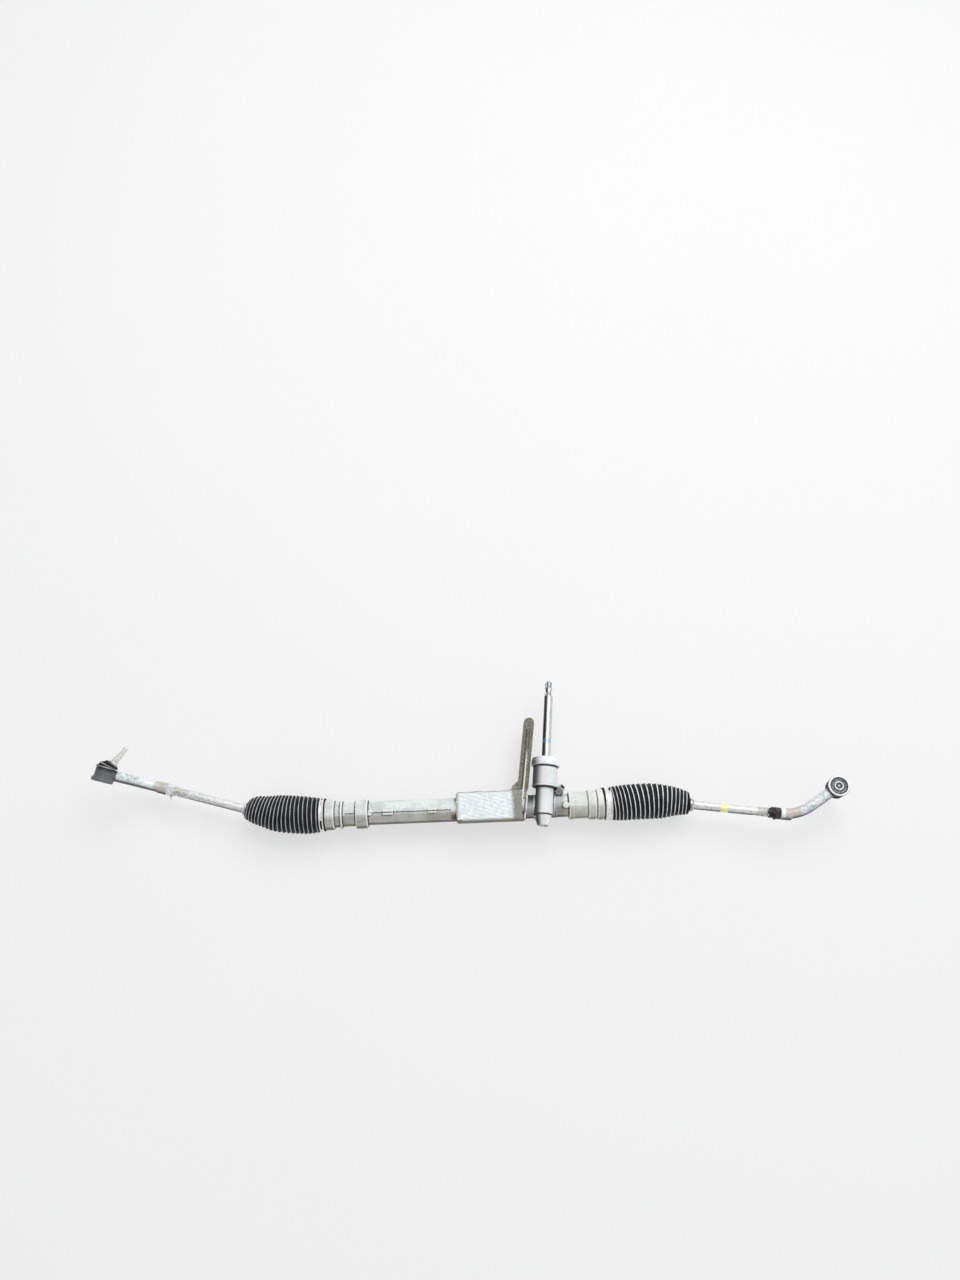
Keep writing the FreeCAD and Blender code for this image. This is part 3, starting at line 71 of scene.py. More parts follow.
# The way that the side of the rods and forgings with painted shade faces, which is low and to the front.
UNDERSIDE = (0, -0.97, -0.24)

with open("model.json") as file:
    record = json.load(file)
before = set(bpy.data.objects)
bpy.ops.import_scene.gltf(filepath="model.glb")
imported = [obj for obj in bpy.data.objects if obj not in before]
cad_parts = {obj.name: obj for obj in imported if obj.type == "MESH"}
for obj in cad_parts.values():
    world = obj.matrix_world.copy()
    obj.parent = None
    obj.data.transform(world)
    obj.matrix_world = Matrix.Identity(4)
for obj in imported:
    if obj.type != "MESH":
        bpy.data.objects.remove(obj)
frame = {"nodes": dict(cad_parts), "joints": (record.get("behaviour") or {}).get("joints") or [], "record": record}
cad_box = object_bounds()
nodes = frame["nodes"]
joints = {joint["name"]: joint for joint in frame["joints"]}
mounts = {mount["name"]: mount for mount in frame["record"]["mounts"]}


# ---------------- places read from the frame

def joint_place(name):
    return Vector(joints[name]["pos_m"])


def joint_axis(name):
    return Vector(joints[name]["axis"]).normalized()


def middle(node):
    low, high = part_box(node)
    return (low + high) / 2


# ---------------- materials

class Paint:
    """A Principled material, with short calls for the nodes that its patterns use."""

    def __init__(self, name, metallic=0.0, roughness=0.5, **constants):
        self.material = bpy.data.materials.new(name)
        self.material.use_nodes = True
        self.tree = self.material.node_tree
        self.shader = self.tree.nodes["Principled BSDF"]
        for socket, value in dict(constants, Metallic=metallic, Roughness=roughness).items():
            self.shader.inputs[socket.replace("_", " ")].default_value = value
        self.place = self.node("ShaderNodeTexCoord").outputs["Object"]

    def node(self, kind, **settings):
        made = self.tree.nodes.new(kind)
        for key, value in settings.items():
            setattr(made, key, value)
        return made

    def feed(self, socket, value):
        """Links an output to a socket, or sets the socket's own value."""
        if isinstance(value, bpy.types.NodeSocket):
            self.tree.links.new(value, socket)
        elif isinstance(value, tuple):
            socket.default_value = (*value, 1.0)
        else:
            socket.default_value = value

    def pattern(self, kind, size, stretch):
        """A pattern with features about size mm across, longer along an axis whose stretch is under 1."""
        made = self.node(kind)
        made.inputs["Scale"].default_value = 1.0 / (size * MM)
        place = self.place
        if stretch:
            mapping = self.node("ShaderNodeMapping")
            mapping.inputs["Scale"].default_value = stretch
            self.feed(mapping.inputs["Vector"], place)
            place = mapping.outputs["Vector"]
        self.feed(made.inputs["Vector"], place)
        return made

    def noise(self, size, detail=4.0, rough=0.55, stretch=None, warp=0.0):
        made = self.pattern("ShaderNodeTexNoise", size, stretch)
        for socket, value in (("Detail", detail), ("Roughness", rough), ("Distortion", warp)):
            made.inputs[socket].default_value = value
        return made.outputs["Fac"]

    def cells(self, size, stretch=None):
        return self.pattern("ShaderNodeTexVoronoi", size, stretch).outputs["Distance"]

    def level(self, value, low, high, first=0.0, last=1.0):
        """first where value is at low or under, last at high or over, and smooth between them."""
        made = self.node("ShaderNodeMapRange", interpolation_type="SMOOTHSTEP")
        self.feed(made.inputs["Value"], value)
        for socket, number in zip(RANGE_SOCKETS, (low, high, first, last)):
            made.inputs[socket].default_value = number
        return made.outputs["Result"]

    def share(self, value):
        """A share is an output or a number, or stands as a tuple for what level is called with."""
        return self.level(*value) if isinstance(value, tuple) else value

    def math(self, operation, first, second):
        made = self.node("ShaderNodeMath", operation=operation)
        self.feed(made.inputs[0], first)
        self.feed(made.inputs[1], second)
        return made.outputs["Value"]

    def times(self, *values):
        product = self.share(values[0])
        for value in values[1:]:
            product = self.math("MULTIPLY", product, self.share(value))
        return product

    def layers(self, tone, *covers):
        """Lays (share, colour) covers over a colour, each on top of the one before."""
        for share, colour in covers:
            made = self.node("ShaderNodeMix", data_type="RGBA")
            under, over = [socket for socket in made.inputs if socket.type == "RGBA"]
            self.feed(made.inputs["Factor"], self.share(share))
            self.feed(under, tone)
            self.feed(over, colour)
            tone = next(socket for socket in made.outputs if socket.type == "RGBA")
        return tone

    def painted(self, name):
        """A value stored on the mesh's points."""
        return self.node("ShaderNodeAttribute", attribute_name=name).outputs["Fac"]

    def mark(self, name, pattern, low, high, least):
        """A value stored on the mesh's points, thinned down to least where a pattern is low."""
        return self.times(self.painted(name), self.level(pattern, low, high, least, 1.0))

    def along(self, vector, direction):
        """The part of a vector that lies along a direction."""
        made = self.node("ShaderNodeVectorMath", operation="DOT_PRODUCT")
        self.feed(made.inputs[0], vector)
        made.inputs[1].default_value = direction
        return made.outputs["Value"]

    def facing(self, direction):
        """1 where the surface faces a direction of the object's own frame, and -1 where it faces away."""
        return self.along(self.node("ShaderNodeTexCoord").outputs["Normal"], direction)

    def pointiness(self):
        """Over 0.5 on outer edges and under it in inner corners."""
        return self.node("ShaderNodeNewGeometry").outputs["Pointiness"]

    def finish(self, tone, roughness=None, *reliefs):
        """Sets the colour, the roughness where it varies, and (height, depth in mm, strength) reliefs."""
        self.feed(self.shader.inputs["Base Color"], tone)
        if roughness is not None:
            self.feed(self.shader.inputs["Roughness"], self.share(roughness))
        bumped = None
        for height, depth, strength in reliefs:
            made = self.node("ShaderNodeBump")
            made.inputs["Strength"].default_value = strength
            made.inputs["Distance"].default_value = depth * MM
            self.feed(made.inputs["Height"], height)
            if bumped is not None:
                self.feed(made.inputs["Normal"], bumped)
            bumped = made.outputs["Normal"]
        if bumped is not None:
            self.feed(self.shader.inputs["Normal"], bumped)
        return self.material


def cast_aluminium():
    """Weathered casting: pale and chalky on top, brown painted shade below and in the corners, black painted shade
    in the tightest of them, an olive arm with a painted highlight along its ridge.
    """
    paint = Paint("cast_aluminium", roughness=0.58, Specular_IOR_Level=0.25)
    patches = paint.noise(22, 5, 0.6, stretch=(0.6, 1, 1))
    blotches = paint.noise(5, 5, 0.65)
    specks = paint.noise(1.8, 4, 0.7)
    grain = paint.noise(0.7, 3, 0.6)
    under_tone = paint.layers((0.35, 0.34, 0.31), ((patches, 0.35, 0.65), (0.53, 0.52, 0.49)))
    olive_tone = paint.layers((0.060, 0.054, 0.034), ((specks, 0.38, 0.64), (0.25, 0.24, 0.18)))
    tone = paint.layers(
        (0.56, 0.59, 0.58),
        ((patches, 0.35, 0.65), (0.74, 0.78, 0.77)),
        ((blotches, 0.54, 0.7, 0, 0.6), (0.80, 0.84, 0.84)),
        ((blotches, 0.44, 0.3, 0, 0.5), (0.36, 0.37, 0.35)),
        ((specks, 0.6, 0.72, 0, 0.4), (0.22, 0.21, 0.18)),
        # Painted shade, in a dirty beige tone, on the casting's low front side.
        (paint.mark("under", blotches, 0.25, 0.6, 0.75), under_tone),
        # Wear with a painted highlight on the upward outer edges, and a paler tower.
        (paint.times(paint.painted("edge"), 0.8), (0.86, 0.89, 0.90)),
        # Brown painted shade on downward faces, along the lower front edges, beside the label and in the inner
        # corners.
        (paint.times(paint.mark("dirt", blotches, 0.2, 0.55, 0.6), 0.92), (0.095, 0.078, 0.048)),
        (paint.mark("olive", blotches, 0.3, 0.6, 0.8), olive_tone),
        (paint.mark("rust", specks, 0.3, 0.55, 0.5), (0.12, 0.06, 0.035)),
        # A painted highlight along the arm's ridge, and a pale tone at the right end and on the tower's flash.
        (paint.mark("bare", specks, 0.3, 0.5, 0.5), (0.90, 0.88, 0.79)),
        # Black painted shade in tight corners, round the tower and beside it, and black on the flash lines away
        # from the tower.
        (paint.painted("groove"), (0.020, 0.018, 0.015)))
    return paint.finish(tone, (blotches, 0.3, 0.7, 0.66, 0.45),
                        (grain, 0.12, 0.6), (blotches, 0.35, 0.5))


def label_film():
    """Blank foil label: bluish white, crinkled, dirty along its rim."""
    paint = Paint("label_film", roughness=0.38, Coat_Weight=0.25, Coat_Roughness=0.3)
    creases = paint.cells(7, stretch=(0.7, 1.2, 1))
    blotches = paint.noise(6, 5, 0.65, warp=0.6)
    tone = paint.layers(
        (0.66, 0.72, 0.75),
        ((blotches, 0.36, 0.66), (0.86, 0.89, 0.90)),
        ((creases, 0.12, 0.0, 0, 0.35), (0.60, 0.62, 0.60)),
        (paint.times(paint.painted("rim"), (blotches, 0.3, 0.6, 0.3, 0.9)), (0.24, 0.23, 0.18)))
    return paint.finish(tone, None, (creases, 0.4, 0.5), (blotches, 0.5, 0.6))


def bellows_rubber():
    """Black rubber with pale dust rubbed onto the ribs."""
    paint = Paint("bellows_rubber", roughness=0.62, Specular_IOR_Level=0.25)
    patches = paint.noise(14, 4, 0.6)
    grain = paint.noise(0.6, 3, 0.6)
    crest = (paint.painted("crest"), 0.72, 0.98)
    dust = paint.times(crest, (patches, 0.3, 0.62, 0.55, 1.0), paint.painted("dust"))
    tone = paint.layers(
        (0.003, 0.0035, 0.005),
        ((patches, 0.35, 0.65), (0.009, 0.010, 0.013)),
        ((grain, 0.6, 0.78, 0, 0.2), (0.05, 0.054, 0.058)),
        (dust, (0.80, 0.83, 0.82)))
    return paint.finish(tone, (patches, 0.3, 0.7, 0.5, 0.75), (grain, 0.08, 0.5))


def soft_rubber():
    """Matte black rubber of the seal and the plug, greasy in places."""
    paint = Paint("soft_rubber", roughness=0.6, Specular_IOR_Level=0.4)
    patches = paint.noise(6, 4, 0.6)
    grain = paint.noise(0.5, 3, 0.6)
    tone = paint.layers((0.010, 0.010, 0.011), ((patches, 0.4, 0.7), (0.045, 0.042, 0.038)))
    return paint.finish(tone, (patches, 0.35, 0.65, 0.4, 0.75), (grain, 0.06, 0.5))


def steel(name, pale, dark, stain, stained, metallic=0.85, rough=(0.3, 0.55), size=4):
    """Worn steel: pale and dark patches, a stain such as rust or road muck over part of it, and fine pits."""
    paint = Paint(name, metallic=metallic, roughness=rough[0])
    patches = paint.noise(size, 5, 0.62)
    stains = paint.noise(size * 1.7, 6, 0.68, warp=0.4)
    grain = paint.noise(0.45, 3, 0.6)
    where = paint.level(stains, 0.62 - 0.3 * stained, 0.78 - 0.3 * stained)
    worn = (paint.pointiness(), 0.52, 0.6)
    tone = paint.layers(
        dark, ((patches, 0.38, 0.62), pale), (where, stain), (paint.times(worn, 0.6), pale))
    paint.feed(paint.shader.inputs["Metallic"], paint.level(where, 0.0, 1.0, metallic, metallic * 0.35))
    return paint.finish(tone, (stains, 0.4, 0.7, rough[0], rough[1]),
                        (grain, 0.05, 0.5), (stains, 0.15, 0.4))


def dab(paint, reach, first, last, pattern, low, high):
    """A dab of marking paint between two places along a rod; each place is where its edge starts and ends."""
    return paint.times((reach, *first), (reach, *last), (pattern, low, high))


def rod_steel(side, mark=None):
    """Pale plated rod, with painted shade along its low front side; mark is where a dab of yellow paint starts and
    ends along it.
    """
    paint = Paint(f"{side}_rod_steel", metallic=0.35, roughness=0.42)
    patches = paint.noise(3.5, 5, 0.62)
    specks = paint.noise(1.1, 4, 0.7)
    below = (paint.facing(UNDERSIDE), 0.4, 0.85)
    above = (paint.facing((0, 1, 0)), 0.8, 0.98)
    tone = paint.layers(
        (0.58, 0.59, 0.57),
        ((patches, 0.38, 0.6), (0.84, 0.86, 0.86)),
        ((patches, 0.66, 0.78, 0, 0.7), (0.34, 0.33, 0.29)),
        ((specks, 0.6, 0.7, 0, 0.75), (0.13, 0.12, 0.10)),
        # Painted shade along the rod's low front side.
        (paint.times(below, 0.9), (0.055, 0.05, 0.042)),
        (paint.times(above, 0.6), (0.22, 0.23, 0.24)))
    if mark:
        axis = joint_axis(f"{side}_end_roll")
        start = joint_place(f"{side}_rod_swing").dot(axis)
        reach = paint.along(paint.place, axis)
        soft = 1.5 * MM
        first = (start + mark[0] - soft, start + mark[0] + soft)
        last = (start + mark[1] + soft, start + mark[1] - soft)
        tone = paint.layers(tone, (dab(paint, reach, first, last, patches, 0.3, 0.45), (0.90, 0.92, 0.42)))
    return paint.finish(tone, (patches, 0.35, 0.7, 0.36, 0.6),
                        (specks, 0.1, 0.5), (patches, 0.25, 0.4))


def forged_steel():
    """Bent forging: pale scale, a band of beige and one of unpainted metal near the nut, painted shade along its
    low front side, and a dirty eye darkened further with painted shade, with a painted highlight on its top rim on
    the right.
    """
    paint = Paint("forged_steel", metallic=0.15, roughness=0.48, Specular_IOR_Level=0.3)
    patches = paint.noise(5, 5, 0.62)
    specks = paint.noise(1.3, 4, 0.7)
    below = (paint.facing(UNDERSIDE), 0.3, 0.78)
    tone = paint.layers(
        (0.44, 0.48, 0.49),
        ((patches, 0.36, 0.62), (0.80, 0.84, 0.86)),
        ((specks, 0.56, 0.68, 0, 0.75), (0.14, 0.15, 0.155)),
        (paint.mark("beige", patches, 0.3, 0.55, 0.6), (0.54, 0.50, 0.45)),
        # On the right this also holds a painted highlight on the eye's top rim.
        (paint.painted("bright"), (0.88, 0.90, 0.89)),
        # Painted shade along the forging's low front side.
        (paint.times(below, 0.92), (0.05, 0.052, 0.055)),
        # Painted shade with grime over the eye's sides.
        (paint.mark("grime", patches, 0.25, 0.6, 0.85), (0.022, 0.023, 0.026)))
    return paint.finish(tone, (patches, 0.35, 0.7, 0.38, 0.6),
                        (specks, 0.12, 0.5), (patches, 0.3, 0.4))


def cap_steel():
    """Dark pressed cap with its raised ring worn pale, and painted shade in its sunken ring and round its rim."""
    paint = Paint("cap_steel", metallic=0.6, roughness=0.4)
    patches = paint.noise(3, 5, 0.62)
    specks = paint.noise(0.8, 4, 0.65)
    tone = paint.layers(
        (0.05, 0.053, 0.058),
        ((patches, 0.35, 0.65), (0.22, 0.23, 0.24)),
        ((specks, 0.58, 0.7, 0, 0.6), (0.50, 0.51, 0.51)),
        (paint.painted("raised"), (0.66, 0.67, 0.68)),
        # Painted shade in the sunken ring and round the rim.
        (paint.painted("sunk"), (0.025, 0.025, 0.03)))
    return paint.finish(tone, (patches, 0.3, 0.7, 0.3, 0.5), (patches, 0.2, 0.5))


def pinion_steel():
    """Ground input shaft: bright, streaked along its length, with a painted dark reflection down its left side and
    along its right edge, and a dab of blue marking paint.
    """
    paint = Paint("pinion_steel", metallic=0.7, roughness=0.3)
    axis = joint_axis("pinion_spin")
    across = Vector((axis.y, -axis.x, 0))
    start = joint_place("pinion_spin").dot(axis)
    streaks = paint.noise(0.5, 3, 0.6, stretch=(1, 0.03, 1))
    patches = paint.noise(5, 4, 0.6, stretch=(1, 0.4, 1))
    patchy = (patches, 0.25, 0.5, 0.8, 1.0)
    # A painted dark reflection: patchy down the shaft's left side, and along its right edge.
    film = paint.math(
        "MAXIMUM", paint.times((paint.facing(-across), 0.15, 0.5), patchy),
        paint.times((paint.facing(across), 0.8, 0.97), 0.7))
    blue = dab(paint, paint.along(paint.place, axis), (start + 101 * MM, start + 103 * MM),
               (start + 112 * MM, start + 108 * MM), patches, 0.3, 0.5)
    tone = paint.layers(
        (0.55, 0.59, 0.59),
        ((patches, 0.35, 0.65), (0.72, 0.76, 0.76)),
        ((streaks, 0.5, 0.75, 0, 0.3), (0.36, 0.38, 0.38)),
        (paint.times(film, 0.95), (0.010, 0.012, 0.015)),
        (paint.times(blue, 0.5), (0.22, 0.42, 0.60)))
    return paint.finish(tone, (patches, 0.3, 0.7, 0.26, 0.42), (streaks, 0.02, 0.5))


def moulded_plastic(name, pale, dark, shaded=0.0):
    """Plastic with painted shade in its corners; shaded is how black the painted shade on its left side is."""
    paint = Paint(name, roughness=0.45, Specular_IOR_Level=0.45)
    patches = paint.noise(7, 5, 0.62)
    grain = paint.noise(0.5, 3, 0.6)
    # Painted shade in the inner corners.
    corner = (paint.pointiness(), 0.42, 0.49, 1.0, 0.0)
    tone = paint.layers(
        dark,
        ((patches, 0.35, 0.62), pale),
        (paint.times(corner, 0.8), (0.07, 0.07, 0.07)),
        ((patches, 0.66, 0.78, 0, 0.4), (0.40, 0.40, 0.37)))
    if shaded:
        # Painted shade down the left side.
        film = paint.times((paint.facing((-1, 0, 0)), 0.35, 0.85), shaded)
        tone = paint.layers(tone, (film, (0.03, 0.03, 0.032)))
    return paint.finish(tone, (patches, 0.3, 0.7, 0.38, 0.6), (grain, 0.05, 0.4))


# Tones of each steel: pale, dark and stain, the share that is stained, metallic, roughness and patch size.
STEELS = {
    "thread_steel": ((0.72, 0.72, 0.69), (0.46, 0.45, 0.41), (0.20, 0.17, 0.13), 0.3, 0.4, (0.3, 0.55),
                     3),
    "nut_steel": ((0.84, 0.87, 0.88), (0.60, 0.62, 0.62), (0.28, 0.26, 0.22), 0.25, 0.4),
    "greasy_nut_steel": ((0.035, 0.033, 0.030), (0.006, 0.006, 0.005), (0.02, 0.018, 0.015), 0.5, 0.3),
    "stud_steel": ((0.88, 0.89, 0.87), (0.60, 0.59, 0.55), (0.20, 0.18, 0.15), 0.15, 0.4),
    "band_steel": ((0.90, 0.87, 0.85), (0.72, 0.69, 0.67), (0.40, 0.34, 0.27), 0.12, 0.4, (0.35, 0.5)),
    "wire_steel": ((0.78, 0.77, 0.74), (0.45, 0.43, 0.40), (0.30, 0.22, 0.15), 0.35, 0.85, (0.25, 0.45)),
    "plated_steel": ((0.62, 0.61, 0.56), (0.40, 0.38, 0.33), (0.20, 0.15, 0.10), 0.4),
    "socket_steel": ((0.42, 0.42, 0.43), (0.18, 0.17, 0.16), (0.08, 0.07, 0.05), 0.5),
    "ground_steel": ((0.66, 0.68, 0.70), (0.48, 0.49, 0.50), (0.20, 0.19, 0.17), 0.2, 0.85, (0.18, 0.35)),
    "bearing_steel": ((0.75, 0.76, 0.77), (0.60, 0.61, 0.62), (0.30, 0.27, 0.2), 0.1, 0.85, (0.12, 0.25)),
    "spring_steel": ((0.45, 0.45, 0.46), (0.22, 0.22, 0.22), (0.12, 0.10, 0.08), 0.4),
    "yoke_alloy": ((0.72, 0.72, 0.72), (0.55, 0.55, 0.54), (0.30, 0.28, 0.24), 0.3, 0.85, (0.35, 0.5)),
}


def make_paints():
    return {
        "cast_aluminium": cast_aluminium(), "label_film": label_film(), "bellows_rubber": bellows_rubber(),
        "soft_rubber": soft_rubber(), "pinion_steel": pinion_steel(), "forged_steel": forged_steel(),
        "cap_steel": cap_steel(), "left_rod_steel": rod_steel("left"),
        "right_rod_steel": rod_steel("right", (99 * MM, 111 * MM)),
        "seat_plastic": moulded_plastic("seat_plastic", (0.80, 0.78, 0.70), (0.70, 0.67, 0.58)),
        "cover_plastic": moulded_plastic("cover_plastic", (0.87, 0.90, 0.93), (0.72, 0.76, 0.79), shaded=0.9),
        **{name: steel(name, *tones) for name, tones in STEELS.items()},
    }


# ---------------- mesh tools

def make_piece(name, points, faces, material, smooth=True):
    mesh = bpy.data.meshes.new(name)
    mesh.from_pydata([tuple(point) for point in points], [], faces)
    mesh.materials.append(material)
    if smooth:
        mesh.shade_smooth()
    mesh.validate()
    return in_scene(name, mesh)


def in_scene(name, data):
    made = bpy.data.objects.new(name, data)
    bpy.context.scene.collection.objects.link(made)
    return made


def stand_for(piece, body, slot, *replaced):
    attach(piece, body)
    if replaced:
        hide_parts(*replaced)
    return piece


def store(piece, **values):
    """Stores one value per point under each name, for Paint.painted to read."""
    for name, value in values.items():
        attribute = piece.data.attributes.new(name, "FLOAT", "POINT")
        full = np.zeros(len(piece.data.vertices), np.float32)
        full[:] = value
        attribute.data.foreach_set("value", full)


def vectors_of(piece, kind="co"):
    """The places of a mesh's points, or their normals."""
    flat = np.zeros(len(piece.data.vertices) * 3, np.float32)
    piece.data.vertices.foreach_get(kind, flat)
    return flat.reshape(-1, 3).astype(float)


def along_and_away(points, start, axis):
    """How far points are along an axis from its start, and away from the axis."""
    axis = np.array(axis)
    offset = points - np.array(start)
    along = offset @ axis
    return along, np.linalg.norm(offset - np.outer(along, axis), axis=1)


def radius_of(node, start, axis, low=-1.0, high=1.0):
    """Largest distance of a CAD node's points from an axis, between two places along it."""
    along, away = along_and_away(vectors_of(nodes[node]), start, axis)
    return float(away[(along > low) & (along < high)].max())


def span_of(node, start, axis):
    along = along_and_away(vectors_of(nodes[node]), start, axis)[0]
    return float(along.min()), float(along.max())


def smooth_step(value):
    value = np.clip(value, 0.0, 1.0)
    return value * value * (3 - 2 * value)


def rise(value, start, over):
    """0 up to start, and 1 from start + over."""
    return smooth_step((value - start) / over)


def band(distance, half_width, soft=0.8):
    """1 within half_width mm of zero, fading out over soft mm."""
    return rise(-np.abs(distance), -half_width - soft, soft)


def cross_axes(direction):
    """Two unit vectors across a direction, the second one nearest to upright."""
    along = Vector(direction).normalized()
    side = Vector((0, 0, 1)).cross(along)
    if side.length < 1e-4:
        side = Vector((1, 0, 0)).cross(along)
    side.normalize()
    return side, along.cross(side)


def grid_faces(rows, columns, joined=False):
    """Quads between a grid's neighbouring points; joined also links each row's end to its start."""
    return [(row * columns + step, row * columns + (step + 1) % columns,
             (row + 1) * columns + (step + 1) % columns, (row + 1) * columns + step)
            for row in range(rows - 1) for step in range(columns if joined else columns - 1)]


def ringed_piece(name, centres, directions, radii, material, segments, closed=False):
    """A tube of rings; radii holds one value per ring, or one per point of each ring."""
    angles = np.linspace(0, 2 * math.pi, segments, endpoint=False)
    rows = []
    for centre, direction, radius in zip(centres, directions, radii):
        side, up = (np.array(axis) for axis in cross_axes(direction))
        spokes = np.outer(np.cos(angles), side) + np.outer(np.sin(angles), up)
        reach = np.broadcast_to(np.asarray(radius, float), (segments,))
        rows.append(np.array(centre) + spokes * reach[:, None])
    faces = grid_faces(len(rows), segments, joined=True)
    if closed:
        faces.append(tuple(reversed(range(segments))))
        faces.append(tuple(range((len(rows) - 1) * segments, len(rows) * segments)))
    return make_piece(name, np.concatenate(rows), faces, material)


def turned_piece(name, start, direction, stations, material, segments, closed=True, shape=None):
    """Revolves (along, radius) stations; shape(along, angles, radius) may vary a ring's radius round it."""
    direction = Vector(direction).normalized()
    angles = np.linspace(0, 2 * math.pi, segments, endpoint=False)
    centres = [Vector(start) + direction * along for along, _ in stations]
    radii = [radius if shape is None else shape(along, angles, radius) for along, radius in stations]
    return ringed_piece(name, centres, [direction] * len(stations), radii, material, segments, closed)


def swept_piece(name, points, half_width, height, normals, material):
    """A low ridge with a rounded top along a row of surface points."""
    section = ((-1.0, -0.4), (-0.6, 0.7), (0.0, 1.0), (0.6, 0.7), (1.0, -0.4))
    rows = []
    for index, (point, normal) in enumerate(zip(points, normals)):
        ahead = points[min(index + 1, len(points) - 1)] - points[max(index - 1, 0)]
        side = ahead.cross(normal).normalized()
        wave = 1 + 0.25 * math.sin(index * 1.7) * math.sin(index * 0.61)
        for across, lift in section:
            rows.append(point + side * across * half_width * wave + normal * lift * height * wave)
    return make_piece(name, rows, grid_faces(len(points), len(section)), material)


def remeshed(node, name, voxel, rounds, material):
    """A copy of a CAD node with soft cast or forged edges."""
    piece = in_scene(name, nodes[node].data.copy())
    remesh = piece.modifiers.new("skin", "REMESH")
    remesh.mode = "VOXEL"
    remesh.voxel_size = voxel
    soften = piece.modifiers.new("soften", "SMOOTH")
    soften.factor = 0.5
    soften.iterations = rounds
    graph = bpy.context.evaluated_depsgraph_get()
    mesh = bpy.data.meshes.new_from_object(piece.evaluated_get(graph))
    piece.modifiers.clear()
    piece.data = mesh
    finish_mesh(mesh, material)
    for attribute in [a.name for a in mesh.attributes if a.name.startswith(("custom", "sharp"))]:
        mesh.attributes.remove(mesh.attributes[attribute])
    return piece


def finish_mesh(mesh, material):
    mesh.materials.clear()
    mesh.materials.append(material)
    mesh.shade_smooth()


def bevelled(node, material, width):
    """A copy of a CAD node with rounded edges, which catch the light."""
    mesh = nodes[node].data.copy()
    mesh.name = f"{node}_finish"
    solid = bmesh.new()
    solid.from_mesh(mesh)
    bmesh.ops.remove_doubles(solid, verts=solid.verts, dist=2e-6)
    bmesh.ops.dissolve_limit(solid, angle_limit=math.radians(0.6), verts=solid.verts, edges=solid.edges)
    sharp = [edge for edge in solid.edges
             if len(edge.link_faces) == 2 and edge.calc_face_angle(0.0) > math.radians(32)
             and edge.calc_length() > width]
    bmesh.ops.bevel(solid, geom=sharp, offset=width, segments=2, profile=0.5, affect="EDGES",
                    clamp_overlap=True, harden_normals=False)
    solid.to_mesh(mesh)
    solid.free()
    finish_mesh(mesh, material)
    mesh.set_sharp_from_angle(angle=math.radians(40))
    return in_scene(f"{node}_finish", mesh)


def finish_node(node, body, slot, material, width):
    """Puts a node's bevelled copy in its place."""
    stand_for(bevelled(node, material, width), body, slot, node)


def make_thread(name, start, axis, first, last, radius, depth, pitch, material):
    """Helical thread between two places along an axis."""
    steps = max(int((last - first) / (pitch / 8)), 8)
    stations = [(first + (last - first) * index / steps, radius) for index in range(steps + 1)]

    def screw(along, angles, base):
        phase = 2 * math.pi * along / pitch - angles
        fade = smooth_step(min(along - first, last - along) / pitch)
        return base - depth * fade * (0.5 - 0.5 * np.cos(phase))

    return turned_piece(name, start, axis, stations, material, segments=40, shape=screw)


# ---------------- casing

def neighbour_mean(piece, values, rounds):
    """Mean of the neighbours' values at each point, repeated."""
    ends = np.zeros(len(piece.data.edges) * 2, np.int64)
    piece.data.edges.foreach_get("vertices", ends)
    first, second = ends.reshape(-1, 2).T
    count = np.bincount(ends, minlength=len(values)).astype(float).clip(1)
    for _ in range(rounds):
        total = np.zeros_like(values)
        np.add.at(total, first, values[second])
        np.add.at(total, second, values[first])
        values = (total.T / count).T
    return values


def hollowness(piece, rounds):
    """About 1 in a tight inner corner and -1 on a tight outer edge."""
    points = vectors_of(piece)
    lift = np.einsum("ij,ij->i", neighbour_mean(piece, points, rounds) - points, vectors_of(piece, "normal"))
    return lift / np.percentile(np.abs(lift), 99)


